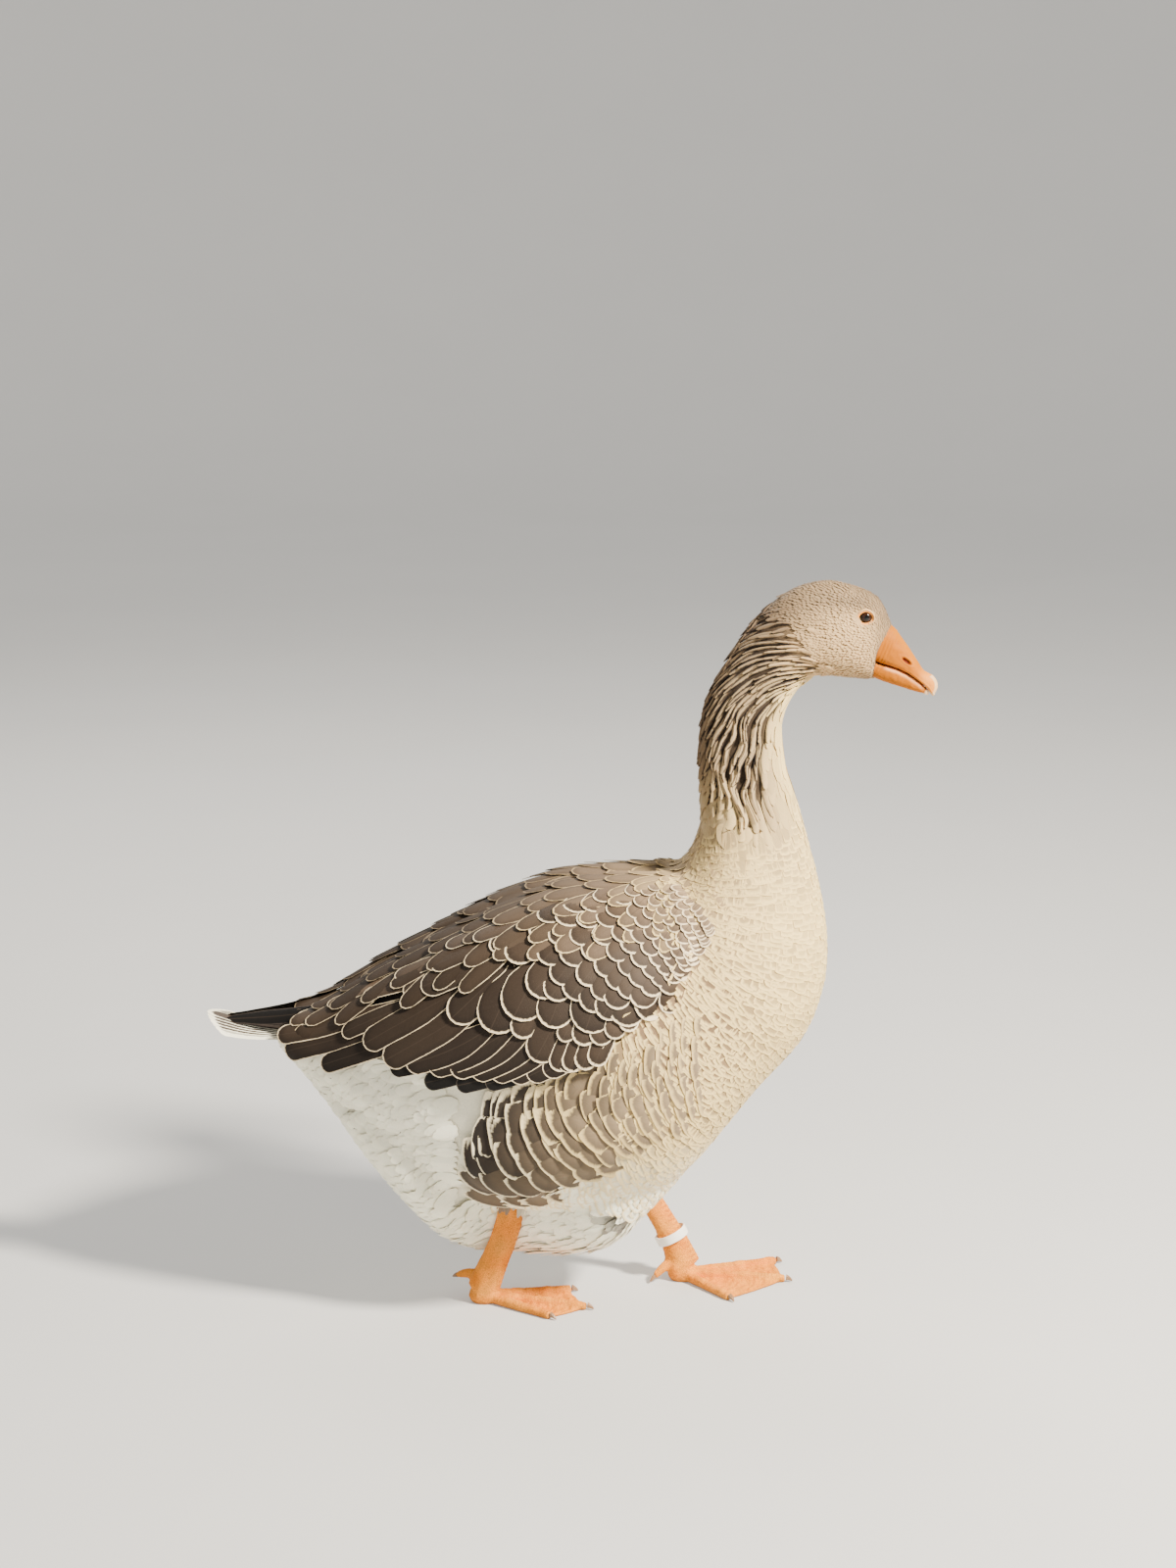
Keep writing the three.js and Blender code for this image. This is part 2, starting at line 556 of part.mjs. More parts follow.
// The origin is under the middle of the bird, on the ground.
const bounds = new THREE.Box3().setFromObject(goose, true);
goose.position.set(-(bounds.min.x + bounds.max.x) / 2, -(bounds.min.y + bounds.max.y) / 2, -bounds.min.z);
export default goose;
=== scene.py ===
"""Domestic goose: skin, plumage, bill, eyes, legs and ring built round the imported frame."""
import math
import bpy
import bmesh
import numpy as np
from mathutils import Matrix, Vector, kdtree
from mathutils.bvhtree import BVHTree


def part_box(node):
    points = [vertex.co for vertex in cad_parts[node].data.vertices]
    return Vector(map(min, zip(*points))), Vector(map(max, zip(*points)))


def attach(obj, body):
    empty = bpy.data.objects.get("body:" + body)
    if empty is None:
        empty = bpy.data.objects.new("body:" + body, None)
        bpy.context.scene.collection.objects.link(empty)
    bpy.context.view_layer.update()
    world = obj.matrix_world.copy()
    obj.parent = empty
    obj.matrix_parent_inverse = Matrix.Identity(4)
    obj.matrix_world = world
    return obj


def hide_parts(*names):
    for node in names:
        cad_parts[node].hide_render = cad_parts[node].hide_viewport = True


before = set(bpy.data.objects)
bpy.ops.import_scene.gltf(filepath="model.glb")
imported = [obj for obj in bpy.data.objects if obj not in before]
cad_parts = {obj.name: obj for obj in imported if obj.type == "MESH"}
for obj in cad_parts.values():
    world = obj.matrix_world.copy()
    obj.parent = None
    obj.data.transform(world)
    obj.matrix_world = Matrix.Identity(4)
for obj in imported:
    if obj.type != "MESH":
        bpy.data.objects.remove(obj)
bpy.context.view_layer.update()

EYE_AT = np.array([239.3, 16.9, 620.5])       # mm, before the shift below
EYE_RADIUS = 7.4
_lo, _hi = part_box("eye_left")
SHIFT = (_lo[0] + _hi[0]) * 500 - EYE_AT[0]   # mm from the section tables to the model's frame

# ---------------------------------------------------------------- camera
camera = bpy.data.objects.new("camera", bpy.data.cameras.new("camera"))
camera.data.lens = 75
camera.data.sensor_width = 36
camera.location = (SHIFT / 1000, -2.8034, 1.0655)
camera.rotation_euler = (Vector((SHIFT / 1000, 0, 0.4696)) - camera.location).to_track_quat("-Z", "Y").to_euler()
bpy.context.scene.collection.objects.link(camera)
bpy.context.scene.camera = camera


# ---------------------------------------------------------------- small maths
def rng(seed):
    return np.random.default_rng(seed)


def unit(v):
    return v / np.maximum(np.linalg.norm(v, axis=-1, keepdims=True), 1e-9)


def smooth(a, b, x):
    t = np.clip((x - a) / (b - a), 0, 1)
    return t * t * (3 - 2 * t)


def mix(a, b, t):
    return a + (b - a) * t


def dot(a, b):
    return (a * b).sum(-1)


def spline(table, t):
    """Uniform Catmull-Rom through the rows of a table, t from 0 to 1."""
    p = np.asarray(table, float)
    if p.ndim == 1:
        p = p[:, None]
    n = len(p)
    q = np.vstack([2 * p[0] - p[1], p, 2 * p[-1] - p[-2]])
    x = np.clip(np.asarray(t, float), 0, 1) * (n - 1)
    i = np.minimum(x.astype(int), n - 2)
    f = (x - i)[..., None]
    a, b, c, d = q[i], q[i + 1], q[i + 2], q[i + 3]
    return 0.5 * (2 * b + (c - a) * f + (2 * a - 5 * b + 4 * c - d) * f ** 2 + (3 * b - a - 3 * c + d) * f ** 3)


def lerp_table(xs, ys, x):
    ys = np.asarray(ys, float)
    if ys.ndim == 1:
        return np.interp(x, xs, ys)
    return np.stack([np.interp(x, xs, ys[:, k]) for k in range(ys.shape[1])], -1)


def srgb(*c):
    """A colour as seen, in linear values."""
    c = np.array(c, float)
    return np.where(c <= 0.04045, c / 12.92, ((c + 0.055) / 1.055) ** 2.4)


def waves(p, scale, seed, octaves=2):
    """Smooth pseudo-random field over points in mm, roughly -1 to 1."""
    r = rng(seed)
    out = np.zeros(p.shape[:-1])
    amp, total = 1.0, 0.0
    for o in range(octaves):
        for _ in range(5):
            k = unit(r.normal(size=3)) * 2 * math.pi / (scale / 2 ** o) * r.uniform(0.7, 1.3)
            out += amp * np.sin(p @ k + r.uniform(0, 2 * math.pi))
        total += amp * math.sqrt(5 / 2) * 1.4
        amp *= 0.55
    return np.clip(out / total, -1, 1)


# ---------------------------------------------------------------- form of the bird, in mm
SECTIONS = np.array([
    # back x, z, front x, z, half breadth, low, square
    (-275, 258, -276, 236, 27, 0, 0), (-236, 270, -243, 200, 54, .1, .05), (-184, 303, -200, 164, 84, .08, .08),
    (-131, 333, -150, 122, 105, .04, .12), (-79, 359, -98, 94, 118, 0, .14), (-26, 380, -36, 86, 123, 0, .14),
    (26, 387, 35, 92, 121, .02, .12), (64, 390.5, 88, 123, 112, .07, .1), (86, 404, 149, 195, 99, .06, .06),
    (95, 422, 191, 242, 84, .04, .04), (98, 438, 209, 288, 71, .02, .02), (98.5, 456, 212, 328, 60, 0, 0),
    (97.5, 474, 206, 372, 50.5, 0, 0), (96.5, 491, 195, 416, 42.5, 0, 0), (97, 509, 182.5, 460, 36.5, 0, 0),
    (99, 526, 173.5, 491, 32, 0, 0), (103, 545, 170.5, 518, 29, 0, 0), (112.5, 566, 174.5, 538, 27.5, 0, 0),
    (125.5, 588.5, 185, 555, 27.5, 0, 0), (143, 613, 196.5, 564.5, 29, .05, .02), (161.5, 632.5, 209, 566.5, 30.5, .1, .04),
    (182.5, 645.5, 223.5, 565, 31.5, .12, .05), (208, 650.5, 237.5, 563.5, 30.5, .12, .05), (231, 646, 246, 562.5, 26.5, .1, .05),
    (252.5, 635.5, 250.8, 561.8, 20.5, .05, .05), (265.5, 609.5, 252.3, 562.2, 15.2, 0, .05)])
LAST = len(SECTIONS) - 1
FACE_HOLLOW = 9
GAPE = np.array([253, 0, 578.4])
BILL_DOWN = math.radians(29)
ALONG = np.array([math.cos(BILL_DOWN), 0, -math.sin(BILL_DOWN)])
UPWARD = np.array([math.sin(BILL_DOWN), 0, math.cos(BILL_DOWN)])
PAUNCH = [(-262, 220, 16), (-244, 198, 36), (-226, 177, 54), (-196, 133, 74), (-166, 95, 84), (-137, 62, 78), (-112, 46.5, 62),
          (-85, 40.5, 47), (-58, 39, 47), (-30, 38, 60), (2, 41, 73), (30, 54, 75), (58, 84, 66), (88, 118, 50), (114, 148, 26)]
FLANK = [(-110, 76, 150, 3, 3), (-106, 78, 153, 20, 20), (-94, 80, 158, 37, 33), (-64, 81, 167, 51, 43), (-20, 82, 182, 54, 45),
         (32, 80, 201, 47, 40), (70, 72, 216, 33, 30), (96, 60, 227, 17, 18), (108, 54, 232, 3, 3)]
WING_OUTLINE = [(72, 402), (86, 376), (90, 349), (85, 325), (74, 305), (50, 291), (19, 274), (-3, 254), (-27, 243), (-51, 231),
                (-102, 226), (-144, 229), (-169, 239), (-216, 237), (-250, 243), (-266, 254), (-272, 268), (-262, 300),
                (-219, 330), (-168, 360), (-80, 385), (20, 410)]
WING_DEPTH = 9
PRIMARIES = [(-205, 34, 275, 14), (-240, 24, 268, 13), (-272, 14.5, 261.5, 10), (-300, 9, 258, 7), (-322, 6.5, 256, 3)]

LEG_LINES = {
    "right": dict(shank=[(-62, -44, 118), (-69, -41.5, 92), (-73, -39, 70), (-80, -35.5, 50), (-88, -31, 30), (-94, -27, 12)], ball=(-93, -26),
                  toes=[(15, 80), (-13.5, 94), (-37, 74)], hallux=[(-102, -22, 24), (-118, -8, 18)]),
    "left": dict(shank=[(34, 38, 118), (46, 36, 96), (55, 34.5, 78), (66, 33.5, 60), (78, 32, 38), (88, 31, 13)], ball=(87, 30),
                 toes=[(-54, 68), (-5, 93), (24, 95)], hallux=[(75, 29, 15), (61, 19, 6.5)])}

def body(s, angle, r=1.0, grow=0.0):
    """Point of the trunk, neck and head: s 0 at the tail to 1 at the bill, angle 0 along the back, + to the left."""
    s, angle = np.broadcast_arrays(np.asarray(s, float), np.asarray(angle, float))
    t = spline(SECTIONS, s)
    mid, up = (t[..., 0:2] + t[..., 2:4]) / 2, (t[..., 0:2] - t[..., 2:4]) / 2
    ul = np.linalg.norm(up, axis=-1)
    c, w = np.cos(angle), np.sin(angle)
    power = 1 - t[..., 6]
    cc = np.sign(c) * np.abs(c) ** power
    ww = np.sign(w) * np.abs(w) ** power * (1 - t[..., 5] * cc)
    k = r * cc * (ul + grow) / ul
    p = np.stack([mid[..., 0] + up[..., 0] * k, r * ww * (t[..., 4] + grow), mid[..., 1] + up[..., 1] * k], -1)
    e = np.maximum((s - .93) / .07, 0) ** 2 * FACE_HOLLOW * np.abs(w) ** 1.2 * (1 - .55 * c)
    return p - e[..., None] * ALONG


def outline_inside(x, z):
    """Distance inside the folded wing's outline, negative outside."""
    q = np.array(WING_OUTLINE, float)
    closed = np.vstack([q[-1], q, q[0], q[1]])
    ts = np.linspace(0, 1, 10, endpoint=False)[:, None]
    pts = []
    for i in range(len(q)):
        a, b, c, d = closed[i], closed[i + 1], closed[i + 2], closed[i + 3]
        pts.append(0.5 * (2 * b + (c - a) * ts + (2 * a - 5 * b + 4 * c - d) * ts ** 2 + (3 * b - a - 3 * c + d) * ts ** 3))
    o = np.vstack(pts)
    o2 = np.roll(o, -1, axis=0)
    p = np.stack([np.ravel(x), np.ravel(z)], -1)
    best = np.full(len(p), 1e9)
    odd = np.zeros(len(p), bool)
    for a, b in zip(o, o2):
        ab = b - a
        t = np.clip(((p - a) @ ab) / (ab @ ab), 0, 1)
        best = np.minimum(best, ((p - a - t[:, None] * ab) ** 2).sum(1))
        if a[1] != b[1]:
            cross = ((a[1] > p[:, 1]) != (b[1] > p[:, 1])) & (p[:, 0] < (b[0] - a[0]) * (p[:, 1] - a[1]) / (b[1] - a[1]) + a[0])
            odd ^= cross
    d = np.sqrt(best)
    return np.where(odd, d, -d).reshape(np.shape(x))


def wing_cover(p):
    """1 where the folded wing lies over the body, 0 elsewhere, for points near the surface."""
    return smooth(-1, 9, outline_inside(p[..., 0], p[..., 2])) * smooth(6, 13, np.abs(p[..., 1]))


def grid_mesh(points):
    """Closed quads and end fans for a ring grid (rings, sides, 3)."""
    n, m = points.shape[:2]
    v = points.reshape(-1, 3)
    i, j = np.meshgrid(np.arange(n - 1), np.arange(m), indexing="ij")
    a, b = i * m + j, i * m + (j + 1) % m
    quads = np.stack([a, b, b + m, a + m], -1).reshape(-1, 4)
    v = np.vstack([v, points[0].mean(0), points[-1].mean(0)])
    k = np.arange(m)
    first = np.stack([(k + 1) % m, k, np.full(m, n * m)], -1)
    last = np.stack([(n - 1) * m + k, (n - 1) * m + (k + 1) % m, np.full(m, n * m + 1)], -1)
    return v, quads, np.vstack([first, last])


def make_mesh(name, verts, quads=None, tris=None, shift=True):
    """A mesh object from arrays in mm."""
    quads = np.zeros((0, 4), int) if quads is None else np.asarray(quads, int)
    tris = np.zeros((0, 3), int) if tris is None else np.asarray(tris, int)
    me = bpy.data.meshes.new(name)
    co = np.array(verts, float)
    if shift:
        co = (co + [SHIFT, 0, 0]) / 1000
    me.vertices.add(len(co))
    me.vertices.foreach_set("co", co.astype(np.float32).ravel())
    me.loops.add(quads.size + tris.size)
    me.loops.foreach_set("vertex_index", np.concatenate([quads.ravel(), tris.ravel()]).astype(np.int32))
    me.polygons.add(len(quads) + len(tris))
    starts = np.concatenate([np.arange(len(quads)) * 4, quads.size + np.arange(len(tris)) * 3])
    me.polygons.foreach_set("loop_start", starts.astype(np.int32))
    me.update(calc_edges=True)
    me.validate()
    obj = bpy.data.objects.new(name, me)
    bpy.context.scene.collection.objects.link(obj)
    return obj


def arrays_of(obj):
    """Vertices in mm (before the shift), triangles, and vertex normals of an object's own mesh."""
    me = obj.data
    v = np.empty(len(me.vertices) * 3, np.float32)
    me.vertices.foreach_get("co", v)
    me.calc_loop_triangles()
    t = np.empty(len(me.loop_triangles) * 3, np.int32)
    me.loop_triangles.foreach_get("vertices", t)
    v = v.reshape(-1, 3).astype(float) * 1000 - [SHIFT, 0, 0]
    t = t.reshape(-1, 3)
    return v, t, vertex_normals(v, t)


def vertex_normals(v, t):
    fn = np.cross(v[t[:, 1]] - v[t[:, 0]], v[t[:, 2]] - v[t[:, 0]])
    n = np.zeros_like(v)
    for k in range(3):
        for c in range(3):
            n[:, c] += np.bincount(t[:, k], weights=fn[:, c], minlength=len(v))
    return unit(n)


def evaluated(obj, modifiers):
    """Apply modifiers given as (type, settings) and keep only the result."""
    for i, (kind, settings) in enumerate(modifiers):
        m = obj.modifiers.new("m%d" % i, kind)
        for k, val in settings.items():
            setattr(m, k, val)
    dg = bpy.context.evaluated_depsgraph_get()
    me = bpy.data.meshes.new_from_object(obj.evaluated_get(dg), depsgraph=dg)
    old = obj.data
    obj.modifiers.clear()
    obj.data = me
    bpy.data.meshes.remove(old)
    me.name = obj.name
    return obj


def relax(v, t, rounds, weight=0.5, keep=None):
    """Laplacian smoothing over the triangles' edges."""
    e = np.vstack([t[:, [0, 1]], t[:, [1, 2]], t[:, [2, 0]]])
    e = np.unique(np.sort(e, 1), axis=0)
    i, j = np.concatenate([e[:, 0], e[:, 1]]), np.concatenate([e[:, 1], e[:, 0]])
    count = np.bincount(i, minlength=len(v)).astype(float)
    for _ in range(rounds):
        m = np.stack([np.bincount(i, weights=v[j, c], minlength=len(v)) for c in range(3)], -1) / np.maximum(count, 1)[:, None]
        d = (m - v) * weight
        v = v + (d if keep is None else d * keep[:, None])
    return v


# ---------------------------------------------------------------- guide surface: the bird's outline, feathers on
def body_grid(rings, sides, grow=0.0, wings=True):
    s = np.linspace(0, 1, rings)[:, None] * np.ones((1, sides))
    a = np.linspace(0, 2 * math.pi, sides, endpoint=False)[None, :] * np.ones((rings, 1))
    g = grow
    if wings:
        g = grow + WING_DEPTH * wing_cover(body(s, a, 1, WING_DEPTH)) * (s < .34)
    return body(s, a, 1, g), s, a


def paunch_grid(rings, sides):
    s = np.linspace(0, 1, rings)[:, None]
    a = np.linspace(0, 2 * math.pi, sides, endpoint=False)[None, :]
    t = spline(PAUNCH, s)
    x, z, half = t[..., 0], t[..., 1], t[..., 2]
    top = 190 + 46 * np.maximum(0, 1 - 2.4 * s)
    high = (top - z) / 2
    return np.stack([x + 0 * a, half * np.sin(a), z + high + high * np.cos(a)], -1)


def flank_grid(side, rings=60, sides=40):
    s = np.linspace(0, 1, rings)[:, None]
    a = np.linspace(0, 2 * math.pi, sides, endpoint=False)[None, :]
    t = spline(FLANK, s)
    c = t[..., :3] * [1, side, 1]
    along = unit(np.gradient(c[:, 0], axis=0))[:, None, :]
    out = np.array([0.0, 1.0, 0.0])
    up = unit(np.cross(np.cross(along, [0, 0, 1.0]), along))
    lateral = np.cross(along, up)
    return c + up * (t[..., 3:4] * np.cos(a)[..., None]) + lateral * (t[..., 4:5] * np.sin(a)[..., None])


def build_guide():
    grids = [body_grid(300, 140)[0], paunch_grid(70, 60), flank_grid(-1), flank_grid(1)]
    vs, qs, ts, base = [], [], [], 0
    for g in grids:
        v, q, t = grid_mesh(g)
        # turned to face out
        c = v.mean(0)
        fn = np.cross(v[q[:, 1]] - v[q[:, 0]], v[q[:, 2]] - v[q[:, 0]])
        vol = dot(fn, v[q[:, 0]] - c).sum()
        if vol < 0:
            q, t = q[:, ::-1], t[:, ::-1]
        vs.append(v), qs.append(q + base), ts.append(t + base)
        base += len(v)
    obj = make_mesh("skin", np.vstack(vs), np.vstack(qs), np.vstack(ts))
    evaluated(obj, [("REMESH", dict(mode="VOXEL", voxel_size=0.0029, adaptivity=0))])
    return obj


class Surface:
    """Triangles that feathers are laid on, with smooth normals."""

    def __init__(self, v, t):
        self.v, self.t, self.n = v, t, vertex_normals(v, t)
        self.tree = BVHTree.FromPolygons([tuple(p) for p in v.tolist()], [tuple(p) for p in t.tolist()])

    def near(self, p):
        """Nearest points of the surface and their smooth normals."""
        shape = p.shape
        q = p.reshape(-1, 3)
        loc = np.empty_like(q)
        idx = np.empty(len(q), int)
        find = self.tree.find_nearest
        for i, c in enumerate(q.tolist()):
            l, _, k, _ = find(c)
            loc[i] = l
            idx[i] = k
        t = self.t[idx]
        a, b, c = self.v[t[:, 0]], self.v[t[:, 1]], self.v[t[:, 2]]
        v0, v1, v2 = b - a, c - a, loc - a
        d00, d01, d11, d20, d21 = dot(v0, v0), dot(v0, v1), dot(v1, v1), dot(v2, v0), dot(v2, v1)
        den = d00 * d11 - d01 * d01
        den = np.where(np.abs(den) < 1e-12, 1, den)
        y, z = (d11 * d20 - d01 * d21) / den, (d00 * d21 - d01 * d20) / den
        w = np.clip(np.stack([1 - y - z, y, z], -1), 0, 1)
        n = unit((self.n[t] * w[..., None]).sum(1))
        return loc.reshape(shape), n.reshape(shape)

    def from_right(self, x, z):
        """Points of the bird's right side at (x, z), seen square from the side."""
        out = []
        for a, b in zip(np.ravel(x).tolist(), np.ravel(z).tolist()):
            hit = self.tree.ray_cast((a, -260, b), (0, 1, 0), 256)
            out.append(tuple(hit[0] if hit[0] is not None else self.tree.find_nearest((a, -20, b))[0]))
        return np.array(out)


skin = build_guide()
_v, _t, _n = arrays_of(skin)
_head = smooth(150, 200, _v[:, 0]) * smooth(520, 560, _v[:, 2])
GUIDE = Surface(relax(_v, _t, 9, 0.5, 1 - 0.45 * _head), _t)
_wv, _wq, _wt = grid_mesh(body_grid(260, 120, WING_DEPTH, wings=False)[0])
_wt = np.vstack([_wq[:, [0, 1, 2]], _wq[:, [0, 2, 3]], _wt])
_f = np.cross(_wv[_wt[:, 1]] - _wv[_wt[:, 0]], _wv[_wt[:, 2]] - _wv[_wt[:, 0]])
if dot(_f, _wv[_wt[:, 0]] - [0, 0, 250]).sum() < 0:
    _wt = _wt[:, ::-1]
WING = Surface(_wv, _wt)     # the level of the folded wings, carried on past their edges


# nearest place (s, angle) of any point on the trunk, neck and head
_pl, _s, _a = body_grid(240, 72, wings=False)
_tree = kdtree.KDTree(_pl.shape[0] * _pl.shape[1])
for _i, _p in enumerate(_pl.reshape(-1, 3).tolist()):
    _tree.insert(_p, _i)
_tree.balance()
_sf, _af = _s.ravel(), _a.ravel()


def place_of(p):
    """(s, angle) on the loft nearest each point: angle 0 along the back to pi beneath, unsigned."""
    q = p.reshape(-1, 3)
    i = np.array([_tree.find(c)[1] for c in q.tolist()])
    a = np.where(_af[i] > math.pi, 2 * math.pi - _af[i], _af[i])
    return _sf[i].reshape(p.shape[:-1]), a.reshape(p.shape[:-1])


def unwrap(s, angle, side):
    """Place on an unwrap of the skin: along the body, and round it on each side."""
    return np.stack([0.02 + 0.96 * s, 0.5 + side * (0.01 + 0.47 * angle / math.pi)], -1)


# ---------------------------------------------------------------- markings, the same for skin and coat
BUFF = srgb(.70, .575, .41)
CREAM = srgb(.88, .765, .515)
WHITE = srgb(.985, .965, .87)
FAWN = srgb(.55, .44, .325)
# near-black painted shade for the neck's furrows
FURROW_SHADE = srgb(.13, .085, .06)
MANTLE = srgb(.25, .205, .165)
MANTLE_EDGE = srgb(.60, .52, .41)
WING_DARK = srgb(.135, .107, .086)
WING_LIGHT = srgb(.352, .287, .227)
FRINGE = srgb(.92, .84, .69)
BLACKISH = srgb(.07, .06, .055)
CROWN = srgb(.43, .355, .275)


def markings(p, s, a, side=0.0):
    """Ground colour of the plumage at points in mm with their place on the loft, with painted shade under the chin and,
    in part, on the nape.
    """
    q = s * LAST
    n1 = waves(p, 60, 3)[..., None]
    n2 = waves(p, 22, 4)[..., None]
    buff = BUFF * (1 + .05 * n1)
    cream = CREAM * (1 + .03 * n1)
    # crown and nape darker than cheek and throat; the nape's dark is partly its own colour, partly painted shade
    top = smooth(1.6, .6, a)[..., None]
    head = mix(buff * 1.16, CROWN * (1 + .06 * n2) * 1.06, .60 * top)
    head = mix(head, CROWN * .84, .82 * (smooth(22.6, 19.6, q) * smooth(2.0, .8, a))[..., None])
    head = mix(head, CROWN * 1.12, .5 * smooth(22.8, 24.4, q)[..., None])
    head = mix(head, CROWN * .92, .35 * (smooth(621, 641, p[..., 2]) * smooth(1.9, 1.3, a))[..., None])
    brow = np.exp(-((p[..., 2] - EYE_AT[2] - 12 - .08 * (EYE_AT[0] - p[..., 0])) / 5.5) ** 2) * smooth(8, -4, p[..., 0] - EYE_AT[0]) * smooth(-52, -26, p[..., 0] - EYE_AT[0])
    head = mix(head, CROWN * .82, .5 * (brow * smooth(2.4, 1.9, a))[..., None])
    # painted shade under the chin: the head's underside mixed towards fawn
    chin_shade = smooth(2.5, 2.95, a)[..., None]
    head = mix(head, FAWN * 1.05, .45 * chin_shade)
    # nape: darker fawn, partly its own colour and partly painted shade
    nape = smooth(1.25, .1, a)[..., None] * smooth(10.6, 13.5, q)[..., None]
    # lower neck browner on the sides and back than at the front
    browner = (smooth(10.0, 14.2, q) * smooth(3.0, 1.7, a))[..., None]
    collar = (smooth(1.2, .3, a) * smooth(13.0, 10.6, q))[..., None]
    neck = mix(mix(cream * .97, srgb(.565, .475, .375), .82 * browner), FAWN * .55, .87 * nape)
    neck = mix(neck, srgb(.55, .46, .365), .75 * collar)
    neck = neck * (1 + .07 * waves(p, 30, 6)[..., None])
    col = mix(neck, head, smooth(17.8, 20.2, q)[..., None])
    # breast to belly: cream to white low down and behind
    low = smooth(200, 112, p[..., 2] + .28 * np.minimum(p[..., 0], 60))
    rear = smooth(-40, -96, p[..., 0])
    under = smooth(2.5, 3.0, a) * smooth(120, 60, p[..., 0])
    white = np.clip(np.maximum(np.maximum(low, rear), under), 0, 1)[..., None]
    breast = mix(cream * (1 + .035 * n2), WHITE * (1 + .02 * n1), white)
    col = mix(breast, col, smooth(9.6, 12.2, q)[..., None])
    shoulder = (smooth(1.75, .9, a) * smooth(7.2, 8.8, q) * smooth(12.6, 10.8, q))[..., None]
    col = mix(col, srgb(.62, .52, .41), .5 * shoulder)
    # brown back from the base of the neck to the rump
    back = (smooth(.92, .48, a) * smooth(9.4, 6.2, q) * smooth(-270, -248, p[..., 0]))[..., None]
    return mix(col, MANTLE * (1 + .12 * n2), back)


